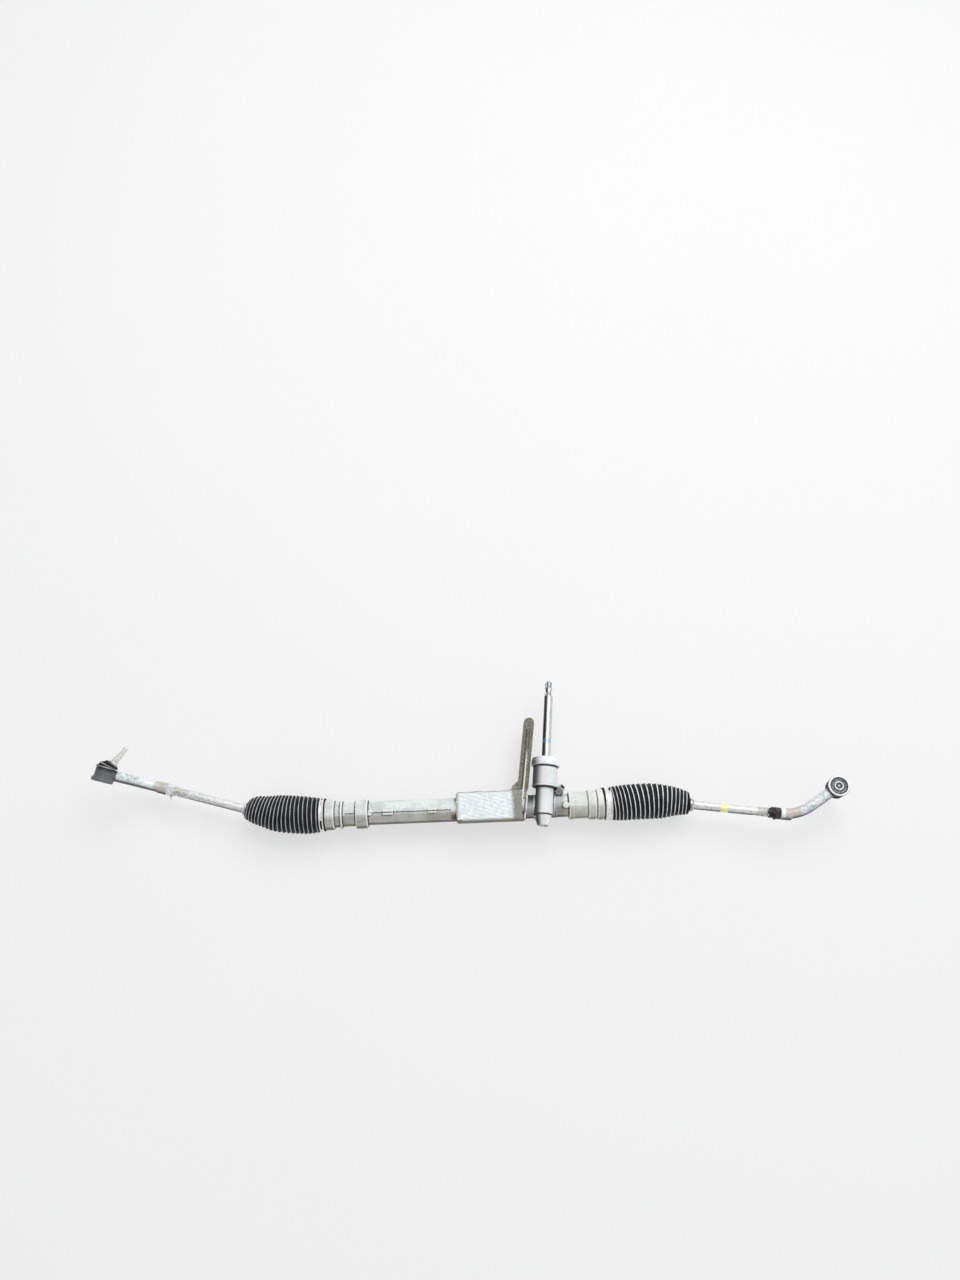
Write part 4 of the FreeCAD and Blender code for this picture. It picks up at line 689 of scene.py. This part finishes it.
def make_casing(material):
    """The casting with soft edges, and the marks of painted shade, painted highlight, wear and age that its paint
    reads.
    """
    piece = remeshed("rack_housing", "casing_skin", 0.9 * MM, 3, material)
    points, normals = vectors_of(piece), vectors_of(piece, "normal")
    x, y, z = points.T / MM
    tight, wide = hollowness(piece, 3), hollowness(piece, 14)
    block_start, block_end = (corner.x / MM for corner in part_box("blank_label"))

    # The arm, its root, the ridge along it, which gets a painted highlight where it faces up, and the rusty seam
    # beside that.
    bolt_hole = mounts["arm_bolt_hole"]
    offset = (points - np.array(bolt_hole["pos_m"])) @ np.array(bolt_hole["axis"]) / MM
    beside_arm = band(offset, 12)
    on_arm = beside_arm * rise(y, 20, 10)
    root = band(x - block_end - 6, 6, 5) * (y < 40)
    # A painted highlight along the top of the arm's ridge.
    ridge = band(offset - 1.5, 0.9) * (normals[:, 2] > 0.2) * rise(y, -5, 20) * rise(-y, -98, 30)
    seam = band(offset - 5.5, 0.7) * band(y - 5, 28, 10) * (z > 0)

    # The tower, by distance along and away from the pinion's axis, and the painted shade and painted shadow on it.
    shaft, start = joint_axis("pinion_spin"), joint_place("pinion_spin")
    along, away = np.array(along_and_away(points, start, shaft)) / MM
    tower_x = middle("pinion_shaft").x / MM
    on_tower = rise(-away, -18 - 5 * rise(along, 24, 3), 1.5)
    # Painted shadow under the cover's rim and under the lip, and painted shade at the lower step, down the tower's
    # left side and on the front of its lower end.
    under_cover = on_tower * band(along - span_of("pinion_cover", start, shaft)[0] / MM + 1.4, 1.2)
    lip = on_tower * band(along - 27.2, 0.9)
    cone = on_tower * band(along + 16.6, 0.9)
    left_face = on_tower * rise(-normals[:, 0], 0.22, 0.6)
    nose = on_tower * rise(-normals[:, 1], 0.86, 0.1) * rise(-along, 18, 3)

    # Painted shade on the stretch on both sides of the tower, darker towards +Y on its left.
    recess = rise(x, block_end + 8, 2) * rise(-x, -tower_x - 26, 6)
    recess *= (1 - on_tower) * (1 - band(offset, 9)) * (0.35 + 0.6 * rise(y, -8, 20) * (x < tower_x))

    # The whole casting: painted shade on its front and low side, along its lower front edges, beside the label and
    # in its corners, and wear with a painted highlight on its upward outer edges.
    facing_front = -normals[:, 1] * math.cos(0.3) - normals[:, 2] * math.sin(0.3)
    # Painted shade, in a dirty tone, on the side turned to the front and down, off the tower and the arm.
    under = rise(facing_front, -0.18, 0.3) * (1 - on_tower) * (1 - on_arm)
    # Painted shade along the lower front edges, on the downward faces, beside the label and in the inner corners.
    rim = rise(-normals[:, 1], 0.86, 0.08) * (1 - on_tower)
    low = rise(-normals[:, 2], -0.1, 0.6) * rise(-z, -4, 14)
    under_label = band(x - block_start, 6, 6) * rise(-y, 6, 8)
    corners = np.maximum(smooth_step(tight * 2.2 - 0.2), 0.85 * smooth_step(wide * 2.0 - 0.2))
    # Wear with a painted highlight on the outer edges that do not face down.
    worn = smooth_step(-tight * 2.0 - 0.35) * (normals[:, 2] > -0.2) * (1 - beside_arm * (y > 30))
    right_end = rise(x, tower_x + 24, 8)
    # Black painted shade in the tightest inner corners.
    grooves = 0.9 * smooth_step(tight * 2.6 - 0.8)

    marks = {
        "under": under,
        "dirt": np.maximum.reduce([0.75 * low, 0.85 * rim, under_label, 0.8 * corners]),
        "edge": np.maximum(worn, 0.5 * on_tower),
        "olive": np.maximum(on_arm, 0.8 * root) * (1 - ridge),
        "rust": seam,
        "bare": np.maximum(ridge, 0.18 * right_end),
        "groove": np.maximum.reduce(
            [grooves, under_cover, 0.9 * lip, 0.95 * cone, 0.93 * left_face, 0.7 * nose, recess])}
    store(piece, **{name: np.clip(values, 0, 1) for name, values in marks.items()})
    return stand_for(piece, "casing", "cast_aluminium", "rack_housing")


def add_parting_lines(casing, material):
    """Thin flash where the casting's two dies met, on the side turned up."""
    tree = BVHTree.FromPolygons(
        [vertex.co for vertex in casing.data.vertices],
        [tuple(face.vertices) for face in casing.data.polygons])
    roll = math.radians(9)
    outward = Vector((0, -math.sin(roll), math.cos(roll)))
    block_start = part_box("blank_label")[0].x
    tower = middle("pinion_shaft").x
    right_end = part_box("right_bellows_clamp")[0].x
    stretches = {
        "left": (-6 * MM, 10 * MM), "tube": (36 * MM, block_start - 8 * MM),
        "tower": (tower + 22 * MM, right_end - 30 * MM)}
    for name, (first, last) in stretches.items():
        spots, normals = [], []
        for x in np.arange(first, last, 1.5 * MM):
            hit, normal, _, _ = tree.ray_cast(Vector((x, 0, 0)) + outward * 0.06, -outward)
            if hit is not None:
                spots.append(hit)
                normals.append(normal.lerp(outward, 0.6).normalized())
        ridge = swept_piece(f"parting_flash_{name}", spots, 0.9 * MM, 0.45 * MM, normals, material)
        # Away from the tower the flash is painted black, and on the tower it is pale.
        pale = name == "tower"
        store(ridge, under=0.0, dirt=0.0, edge=0.6 * pale, olive=0.0, rust=0.0, bare=0.7 * pale,
              groove=0.0 if pale else 0.9)
        stand_for(ridge, "casing", "cast_aluminium")


def make_label(material):
    """Crinkled foil with rounded, slightly ragged corners."""
    low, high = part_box("blank_label")
    centre = (low + high) / 2
    half_width, half_depth = (high.x - low.x) / 2, (high.y - low.y) / 2
    columns, rows = 120, 64
    points, rim = [], []
    corner = 5 * MM
    for row in range(rows + 1):
        for column in range(columns + 1):
            u, v = column / columns * 2 - 1, row / rows * 2 - 1
            x, y = u * half_width, v * half_depth
            over_x = max(abs(x) - (half_width - corner), 0)
            over_y = max(abs(y) - (half_depth - corner), 0)
            if over_x and over_y:
                shrink = corner / max(math.hypot(over_x, over_y), corner)
                x -= math.copysign(over_x * (1 - shrink), x)
                y -= math.copysign(over_y * (1 - shrink), y)
            edge = max(abs(u), abs(v))
            ragged = 0.5 * MM * math.sin(9 * u + 4 * v) * math.sin(7 * v - 3 * u) * edge ** 6
            crinkle = (0.22 * math.sin(21 * u + 9 * v) * math.sin(13 * v - 5 * u)
                       + 0.13 * math.sin(47 * u - 22 * v) * math.sin(31 * v + 17 * u)
                       + 0.10 * math.sin(75 * u + 50 * v + 1.3))
            lift = 0.55 * MM + crinkle * MM * 0.9 * (1 - edge ** 8)
            lift += 0.5 * MM * smooth_step((edge - 0.9) / 0.1) * math.sin(5 * u - 3 * v) ** 2
            points.append((centre.x + x + ragged, centre.y + y + ragged, low.z + lift))
            rim.append(smooth_step((edge - 0.86) / 0.14))
    piece = make_piece("label_sheet", points, grid_faces(rows + 1, columns + 1), material)
    store(piece, rim=rim)
    thick = piece.modifiers.new("film", "SOLIDIFY")
    thick.thickness = 0.35 * MM
    thick.offset = -1
    stand_for(piece, "casing", "label", "blank_label")


# ---------------- bellows

# Radius of the ribs in mm against the share of the bellows' length, from the casing to the rod.
OUTLINES = {
    "left": ((0.0, 27.6), (0.06, 29.4), (0.17, 30.8), (0.3, 31.3), (0.46, 31.0), (0.6, 30.0), (0.67, 28.4),
             (0.73, 26.6), (0.8, 25.0), (0.88, 23.4), (0.94, 21.4), (1.0, 17.0)),
    "right": ((0.0, 27.6), (0.06, 28.8), (0.2, 29.8), (0.5, 29.9), (0.64, 29.0), (0.75, 26.6), (0.86, 23.6),
              (0.94, 21.2), (1.0, 18.6)),
}
# Share of the rod's own offset that the centre line has, against the share of the bellows' length.
SAGS = {
    "left": ((0.0, 0.0), (0.15, 0.05), (0.3, 0.16), (0.48, 0.31), (0.6, 0.43), (0.72, 0.66), (0.83, 0.88),
             (0.92, 1.08), (1.0, 1.12)),
    "right": ((0.0, 0.0), (0.2, -0.08), (0.4, -0.28), (0.55, -0.22), (0.68, 0.0), (0.85, 0.08), (0.95, 0.4),
              (1.0, 0.6)),
}
RIBS = {"left": 19, "right": 18}
RIB_STEPS = 14
RIB_DEPTH_SHARE = 0.06
BELLOWS_SEGMENTS = 96
# How far the ribs lean at the casing, as a rise over a run.
LEANS = {"left": 0.0, "right": 0.1}
# How far past the inner ball the folds that slide end, and those that bend end.
SLIDE_REACH = 6 * MM
BEND_REACH = 23 * MM


def smoothed(table, share, soft):
    """The value that a (share, value) table has at a share, with its corners rounded off."""
    shares, values = zip(*table)
    near = [share + soft * shift for shift in (-1, -0.5, 0, 0.5, 1)]
    return float(np.mean(np.interp(near, shares, values)))


def outline_radius(side, share):
    return smoothed(OUTLINES[side], share, 0.03) * MM


class BellowsPath:
    """Centre line of one bellows: along the rack, then curving into the tie rod's line at the ball."""

    def __init__(self, side):
        self.side = side
        self.outward = Vector((-1 if side == "left" else 1, 0, 0))
        self.ball = joint_place(f"{side}_rod_swing")
        self.rod = joint_axis(f"{side}_end_roll")
        low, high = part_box(f"{side}_bellows_clamp")
        self.face, self.back = (low.x, high.x) if side == "left" else (high.x, low.x)
        self.start = (Vector((self.face, 0, 0)) - self.ball).dot(self.outward)
        self.end = (middle(f"{side}_bellows_clip") - self.ball).dot(self.rod) - 5.5 * MM

    def direction(self, reach):
        """Direction of the line reach metres past the ball, which is negative before it."""
        turn = float(smooth_step((reach + 45 * MM) / (75 * MM)))
        lean = Vector((0, LEANS[self.side] * (1 - turn), 0))
        return (self.outward.lerp(self.rod, turn) + lean).normalized()

    def centre(self, reach):
        sag = smoothed(SAGS[self.side], (reach - self.start) / (self.end - self.start), 0.05)
        off_line = (self.rod * (self.end / self.rod.dot(self.outward))).project(Vector((0, 1, 0)))
        return self.ball + self.outward * reach + off_line * sag

    def reach_at(self, share):
        return self.start + (self.end - self.start) * share


def rib_share(side, number):
    """Share of the length at which a rib's valley lies: the ribs are closer together at the ends."""
    plain = number / RIBS[side]
    if side == "left":
        return plain + 0.16 * plain * (1 - plain)
    return plain - 0.2 / (2 * math.pi) * math.sin(2 * math.pi * plain)


def bellows_rows(path, first, last):
    """(reach, radius, crest) of the rows from valley number first to valley number last."""
    side, rows = path.side, []
    for number in range(first, last):
        start, stop = rib_share(side, number), rib_share(side, number + 1)
        for step in range(RIB_STEPS + (number == last - 1)):
            local = step / RIB_STEPS
            share = start + (stop - start) * local
            swell = 0.5 - 0.5 * math.cos(2 * math.pi * local)
            crest = outline_radius(side, share)
            depth = RIB_DEPTH_SHARE * crest * (0.75 if number in (0, RIBS[side] - 1) else 1.0)
            rows.append((path.reach_at(share), crest - depth * (1 - swell), swell ** 1.5))
    return rows


def bellows_piece(part, path, rows, material):
    """One stretch of the bellows, slightly uneven round its axis."""
    reaches, radii, crests = np.array(rows, float).T
    angles = np.linspace(0, 2 * math.pi, BELLOWS_SEGMENTS, endpoint=False)
    waves = [1 + 0.006 * np.sin(3 * angles + reach * 90) + 0.005 * np.sin(5 * angles - reach * 140)
             for reach in reaches]
    centres = [path.centre(reach) for reach in reaches]
    directions = [path.direction(reach) for reach in reaches]
    piece = ringed_piece(f"{path.side}_bellows_{part}", centres, directions, radii[:, None] * np.array(waves),
                         material, BELLOWS_SEGMENTS)
    share = (reaches - path.start) / (path.end - path.start)
    dust = 0.5 + 0.35 * share if path.side == "left" else np.ones(len(share))
    store(piece, crest=np.repeat(crests, BELLOWS_SEGMENTS), dust=np.repeat(dust, BELLOWS_SEGMENTS))
    return piece


def make_bellows(side, material):
    path = BellowsPath(side)
    count = RIBS[side]
    shares = np.array([rib_share(side, number) for number in range(count + 1)])
    reaches = path.reach_at(shares)
    slide_end = int(np.argmin(np.abs(reaches - SLIDE_REACH)))
    bend_end = int(np.argmin(np.abs(reaches - BEND_REACH)))
    start, back = path.start, path.start - abs(path.back - path.face) - 1.5 * MM
    cuff_radius = outline_radius(side, 0.0) - 1.2 * MM
    cuff_rows = [
        (back, cuff_radius - 2 * MM, 0), (back, cuff_radius, 0), (start - 0.5 * MM, cuff_radius, 0.3),
        (start + 1.2 * MM, cuff_radius + 0.4 * MM, 0.5), (start + 2.2 * MM, cuff_radius - 0.6 * MM, 0.2),
        (start + 2.2 * MM, cuff_radius - 3 * MM, 0)]
    stand_for(bellows_piece("cuff", path, cuff_rows, material), "casing", "rubber")

    folds = bellows_piece("folds", path, bellows_rows(path, 0, slide_end), material)
    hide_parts(f"{side}_bellows")
    join, direction = path.centre(reaches[slide_end]), path.direction(reaches[slide_end])
    slack = outline_radius(side, shares[slide_end]) * (abs(direction.y) + abs(direction.z))
    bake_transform(folds, "casing", "rack", start=Vector((path.face, 0, 0)) - path.outward * 7 * MM,
             end=Vector((join.x, 0, 0)) - path.outward * slack)

    stretches = (
        ("bend", slide_end, bend_end, "rack", f"{side}_inner_seat_body"),
        ("turn", bend_end, count, f"{side}_inner_seat_body", f"{side}_rod"))
    for part, first, last, inner, outer in stretches:
        piece = bellows_piece(part, path, bellows_rows(path, first, last), material)
        inner_end, outer_end = path.centre(reaches[first]), path.centre(reaches[last])
        margin = (outer_end - inner_end).normalized() * 1.0 * MM
        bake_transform(piece, inner, outer, start=inner_end + margin, end=outer_end - margin)
    make_neck(path, material)


def make_neck(path, material):
    """The bellows' narrow end, which closes onto the rod under the clip."""
    last_radius = bellows_rows(path, RIBS[path.side] - 1, RIBS[path.side])[-1][1]
    end_centre, end_direction = path.centre(path.end), path.direction(path.end)
    neck_radius = 8.6 * MM
    stations = [
        (0.0, last_radius - 2.5 * MM), (0.0, last_radius), (1.4 * MM, last_radius - 0.7 * MM),
        (2.2 * MM, last_radius - 3 * MM), (2.6 * MM, neck_radius + 1.5 * MM), (3.6 * MM, neck_radius),
        (8 * MM, neck_radius), (9.4 * MM, neck_radius + 0.7 * MM), (10.4 * MM, neck_radius),
        (10.6 * MM, neck_radius - 1.8 * MM)]
    centres, directions = [], []
    for along, _ in stations:
        share = float(smooth_step(along / (3.6 * MM)))
        on_rod = path.ball + path.rod * (path.end + along)
        centres.append((end_centre + end_direction * along).lerp(on_rod, share))
        directions.append(end_direction.lerp(path.rod, share))
    neck = ringed_piece(f"{path.side}_bellows_neck", centres, directions, [radius for _, radius in stations],
                        material, BELLOWS_SEGMENTS)
    crest = [smooth_step((along - 2.4 * MM) / (2 * MM)) for along, _ in stations]
    store(neck, crest=np.repeat(crest, BELLOWS_SEGMENTS), dust=0.9)
    stand_for(neck, f"{path.side}_rod", "rubber")


def make_clamp(side, material):
    """Plated band with rolled rims, drawn up by a pinched ear underneath."""
    low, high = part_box(f"{side}_bellows_clamp")
    width, radius = high.x - low.x, high.y
    rim = radius - 0.2 * MM
    under = outline_radius(side, 0.0) - 1.4 * MM
    half = [(0, under), (0, rim), (0.8 * MM, radius + 0.25 * MM), (1.6 * MM, rim), (2.2 * MM, rim - 0.3 * MM)]
    stations = half + [(width - along, at) for along, at in reversed(half)]

    def pinched(along, angles, base):
        below = np.abs(np.angle(np.exp(1j * (angles + math.pi / 2))))
        ear = smooth_step(1 - below / 0.16)
        return base + ear * 3.2 * MM if base > under else np.full_like(angles, base)

    band_piece = turned_piece(f"{side}_clamp_band", Vector((low.x, 0, 0)), (1, 0, 0), stations, material,
                              segments=160, closed=False, shape=pinched)
    stand_for(band_piece, "casing", "band_steel", f"{side}_bellows_clamp")


# ---------------- rods and outer ball joints

def make_rod_details(side, paints):
    ball, rod = joint_place(f"{side}_rod_swing"), joint_axis(f"{side}_end_roll")
    nut_start, nut_end = span_of(f"{side}_lock_nut", ball, rod)
    thread_start = nut_start - 24 * MM
    rod_radius = radius_of(f"{side}_tie_rod", ball, rod, thread_start, nut_start)
    thread = make_thread(f"{side}_rod_thread", ball, rod, thread_start, nut_start + 0.5 * MM,
                         rod_radius + 0.45 * MM, 0.55 * MM, 1.5 * MM, paints["thread_steel"])
    stand_for(thread, f"{side}_rod", "rod_steel")
    nut_paint = paints["nut_steel" if side == "left" else "greasy_nut_steel"]
    finish_node(f"{side}_tie_rod", f"{side}_rod", "rod_steel", paints[f"{side}_rod_steel"], 0.5 * MM)
    finish_node(f"{side}_lock_nut", f"{side}_rod", "nut_steel", nut_paint, 0.5 * MM)
    if side == "left":
        add_locking_tab(ball + rod * (nut_start + nut_end) / 2, nut_paint)
    else:
        add_grease(ball, rod, nut_start, nut_paint)


def add_locking_tab(nut_centre, material):
    """The bent end of the lock wire, hanging from the left nut."""
    shares = np.linspace(0, 1, 9)
    spots = [nut_centre + Vector((0.3 * share, -9.0 - 8 * share, 1.2 * share * share)) * MM
             for share in shares]
    directions = [spots[1] - spots[0]] * len(spots)
    radii = (2.0 - 1.5 * shares) * MM
    piece = ringed_piece("left_lock_tab", spots, directions, radii, material, 16, closed=True)
    stand_for(piece, "left_rod", "nut_steel")


def add_grease(ball, rod, nut_start, material):
    """Black grease built up in front of the right nut."""
    stations = [(nut_start + (4 - 14 * (1 - share)) * MM, (6.9 + 3.6 * share ** 1.2) * MM)
                for share in np.linspace(0, 1, 16)]

    def lumpy(along, angles, radius):
        waves = 0.05 * np.sin(3 * angles + along * 700) + 0.04 * np.sin(5 * angles - along * 900)
        return radius * (1 + waves)

    piece = turned_piece("right_nut_grease", ball, rod, stations, material, segments=48, shape=lumpy)
    stand_for(piece, "right_rod", "nut_steel")


def make_eye_cap(side, material):
    """Pressed cap: a raised ring about its middle, worn pale on top, with painted shade in the sunken ring inside
    it and round the rim.
    """
    centre = joint_place(f"{side}_stud_spin")
    outward = (middle(f"{side}_eye_cap") - centre).normalized()
    low, crown = span_of(f"{side}_eye_cap", centre, outward)
    radius = radius_of(f"{side}_eye_cap", centre, outward)
    plate, segments, steps = crown - 0.7 * MM, 72, 4
    stations = np.array([
        (low, radius), (plate, radius), (plate + 0.1 * MM, 0.86 * radius), (plate - 0.3 * MM, 0.78 * radius),
        (plate - 0.3 * MM, 0.70 * radius), (plate, 0.62 * radius), (crown, 0.52 * radius),
        (crown, 0.40 * radius), (plate - 0.2 * MM, 0.30 * radius), (plate - 0.4 * MM, 0.16 * radius),
        (plate + 0.2 * MM, 0.08 * radius), (plate + 0.2 * MM, 0.01 * radius)])
    fine = [tuple(here + (there - here) * step / steps)
            for here, there in zip(stations, stations[1:]) for step in range(steps)] + [tuple(stations[-1])]
    piece = turned_piece(f"{side}_cap_press", centre, outward, fine, material, segments=segments)
    shares = np.repeat([radius_at / radius for _, radius_at in fine], segments)

    def ring(place, width):
        return smooth_step(1 - np.abs(shares - place) / width)

    # The first mark is the raised ring worn pale, the second painted shade in the sunken ring and round the rim.
    store(piece, raised=np.clip(ring(0.46, 0.12) + 0.7 * ring(0.06, 0.08), 0, 0.85),
          sunk=np.clip(ring(0.25, 0.09) + smooth_step((shares - 0.88) / 0.1), 0, 0.9))
    stand_for(piece, f"{side}_end", "cap_steel", f"{side}_eye_cap")


def make_outer_end(side, material):
    """The bent forging, with the marks that its paint reads near the nut and on the eye."""
    piece = remeshed(f"{side}_outer_end", f"{side}_end_forging", 0.7 * MM, 3, material)
    points = vectors_of(piece)
    ball, rod = joint_place(f"{side}_rod_swing"), joint_axis(f"{side}_end_roll")
    past_nut = (along_and_away(points, ball, rod)[0] - span_of(f"{side}_lock_nut", ball, rod)[1]) / MM
    centre = joint_place(f"{side}_stud_spin")
    outward = (middle(f"{side}_eye_cap") - centre).normalized()
    towards_cap, away = np.array(along_and_away(points, centre, outward)) / MM
    on_eye = rise(-away, -20, 3)
    # The eye's top rim, which on the right gets a painted highlight.
    top = on_eye * rise(towards_cap, 12.6, 1.0) * band(away - 15.6, 1.2, 0.5)
    # Painted shade with grime darkens the eye but for its top rim, more towards its low side on the left.
    if side == "left":
        beige = band(past_nut - 10.5, 10.5, 2)
        bright = 0.4 * band(past_nut - 32, 8, 6)
        grime = on_eye * (0.84 + 0.14 * rise(-towards_cap, 1, 6)) * (1 - top)
    else:
        beige = band(past_nut - 19, 11, 2)
        bright = np.maximum(0.8 * band(past_nut - 3, 3, 1.5), top)
        grime = on_eye * (1 - top)
    store(piece, beige=beige, bright=bright, grime=grime)
    stand_for(piece, f"{side}_end", "forged_steel", f"{side}_outer_end")


def make_stud(side, material):
    """The ball stud with a rolled thread over its plain end."""
    centre, axis = joint_place(f"{side}_stud_spin"), joint_axis(f"{side}_stud_spin")
    mount = mounts[f"{side}_stud_thread"]
    middle_along = (Vector(mount["pos_m"]) - centre).dot(axis)
    half = mount["dims"]["length_mm"] * MM / 2
    radius = mount["dims"]["r_mm"] * MM
    thread = make_thread(f"{side}_stud_screw", centre, axis, middle_along - half, middle_along + half,
                         radius + 0.3 * MM, 0.5 * MM, 1.25 * MM, material)
    stand_for(thread, f"{side}_stud", "stud_steel")
    finish_node(f"{side}_ball_stud", f"{side}_stud", "stud_steel", material, 0.3 * MM)


def make_outer_boot(side, material):
    """Folded dust boot between the eye's rim and the stud's collar."""
    ring, lip = middle(f"{side}_boot_ring"), middle(f"{side}_lip_ring")
    stud = joint_axis(f"{side}_stud_spin")
    eye = (ring - middle(f"{side}_eye_cap")).normalized()
    ring_radius = radius_of(f"{side}_boot_ring", ring, eye) - 1.3 * MM
    lip_radius = radius_of(f"{side}_lip_ring", lip, stud) - 1.2 * MM
    shares, segments = np.arange(45) / 44, 72
    folds = 0.5 + 0.5 * np.cos(2 * math.pi * (2.5 * shares - 0.2))
    swells = np.sin(math.pi * shares).clip(0) ** 0.8
    radii = ring_radius + (lip_radius - ring_radius) * shares ** 1.4 + swells * (1.2 + 1.8 * folds) * MM
    overlap = (lip - ring).normalized() * 0.8 * MM
    centres = [ring.lerp(lip, share) + overlap * (2 * share - 1) for share in shares]
    directions = [eye.lerp(stud, float(smooth_step(share))) for share in shares]
    piece = ringed_piece(f"{side}_boot_folds", centres, directions, radii, material, segments)
    store(piece, crest=np.repeat(folds * swells, segments), dust=0.5)
    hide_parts(f"{side}_outer_boot")
    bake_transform(piece, f"{side}_end", f"{side}_outer_seat_body", start=ring + eye * 0.5 * MM,
             end=lip - stud * 0.3 * MM)


# ---------------- floor, light and camera

def make_floor():
    """A plain floor that glows a little, as a bright studio's does, under the gear's lowest point."""
    low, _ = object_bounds()
    reach = 6.0
    corners = [(-reach, -reach, low.z), (reach, -reach, low.z), (reach, reach, low.z), (-reach, reach, low.z)]
    paint = Paint("studio_floor", roughness=0.8, Specular_IOR_Level=0.2, Emission_Strength=0.58,
                  Emission_Color=(1.0, 1.0, 1.0, 1.0))
    speckle = paint.noise(300, 2, 0.5)
    material = paint.finish(paint.layers((0.30, 0.30, 0.302), (speckle, (0.31, 0.31, 0.31))))
    make_piece("studio_floor", corners, [(0, 1, 2, 3)], material, smooth=False)


def add_softbox(name, place, target, width, depth, power, tint):
    light = bpy.data.lights.new(name, "AREA")
    light.shape = "RECTANGLE"
    light.size = width
    light.size_y = depth
    light.energy = power
    light.color = tint
    lamp = in_scene(name, light)
    lamp.location = place
    lamp.rotation_euler = (Vector(target) - Vector(place)).to_track_quat("-Z", "Y").to_euler()


def make_light():
    """A bright studio: one big soft box high behind the gear, and surroundings darker on the left."""
    world = bpy.data.worlds.new("studio")
    bpy.context.scene.world = world
    world.use_nodes = True
    tree = world.node_tree
    background = tree.nodes["Background"]
    background.inputs["Color"].default_value = (0.97, 0.985, 1.0, 1.0)
    coordinates = tree.nodes.new("ShaderNodeTexCoord")
    split = tree.nodes.new("ShaderNodeSeparateXYZ")
    tree.links.new(coordinates.outputs["Generated"], split.inputs["Vector"])
    fade = tree.nodes.new("ShaderNodeMapRange")
    fade.interpolation_type = "SMOOTHSTEP"
    left, right, dimmer, brighter = -0.4, 0.25, 0.4, 0.76
    for socket, number in zip(RANGE_SOCKETS, (left, right, dimmer, brighter)):
        fade.inputs[socket].default_value = number
    tree.links.new(split.outputs["X"], fade.inputs["Value"])
    tree.links.new(fade.outputs["Result"], background.inputs["Strength"])
    centre = (cad_box[0] + cad_box[1]) / 2
    add_softbox("key", centre + Vector((0.7, 1.5, 2.4)), centre, 2.6, 2.0, power=58, tint=(1.0, 0.995, 0.98))


def make_camera():
    """Stands a good metre and a half above the tube and looks down at seventy degrees."""
    data = bpy.data.cameras.new("camera")
    data.lens = 27
    data.sensor_width = 36
    camera = in_scene("camera", data)
    elevation, azimuth = math.radians(70), math.radians(-2.2933)
    camera.location = (0.20311, -0.27965, 1.58296)
    camera.rotation_euler = (math.pi / 2 - elevation, 0, azimuth)
    bpy.context.scene.camera = camera
    bpy.context.scene.view_settings.view_transform = "Standard"


# ---------------- everything

# Material of each CAD node that stays in view; {side} stands for left and right.
FINISHES = {
    "ground_steel": ("rack_bar",),
    "seat_plastic": ("left_rack_bushing", "yoke_liner", "upper_bearing_cage", "{side}_inner_seat",
                     "{side}_outer_seat"),
    "yoke_alloy": ("rack_yoke",),
    "spring_steel": ("yoke_spring", "pinion_circlip", "{side}_boot_ring"),
    "plated_steel": ("lower_end_plug", "bearing_ring_nut"),
    "soft_rubber": ("pinion_seal", "vent_plug"),
    "pinion_steel": ("pinion_shaft",),
    "bearing_steel": ("lower_bearing_cup", "lower_bearing_rollers", "upper_bearing_balls",
                      "upper_bearing_inner_race", "upper_bearing_outer_race"),
    "socket_steel": ("{side}_inner_socket", "{side}_lock_washer"),
    "wire_steel": ("{side}_bellows_clip", "{side}_lip_ring"),
}


def paint_nodes(paints):
    for paint, names in FINISHES.items():
        for name, side in itertools.product(names, SIDES):
            mesh = nodes[name.format(side=side)].data
            mesh.materials.clear()
            mesh.materials.append(paints[paint])


def make_everything():
    paints = make_paints()
    paint_nodes(paints)
    casing = make_casing(paints["cast_aluminium"])
    add_parting_lines(casing, paints["cast_aluminium"])
    make_label(paints["label_film"])
    for side in SIDES:
        make_bellows(side, paints["bellows_rubber"])
        make_clamp(side, paints["band_steel"])
        make_rod_details(side, paints)
        make_outer_end(side, paints["forged_steel"])
        make_eye_cap(side, paints["cap_steel"])
        make_stud(side, paints["stud_steel"])
        make_outer_boot(side, paints["bellows_rubber"])
    finish_node("pinion_cover", "casing", "cover_plastic", paints["cover_plastic"], 0.5 * MM)
    for node in ("yoke_plug", "yoke_lock_nut"):
        finish_node(node, "casing", "plated_steel", paints["plated_steel"], 0.4 * MM)


make_everything()
make_floor()
make_light()
make_camera()
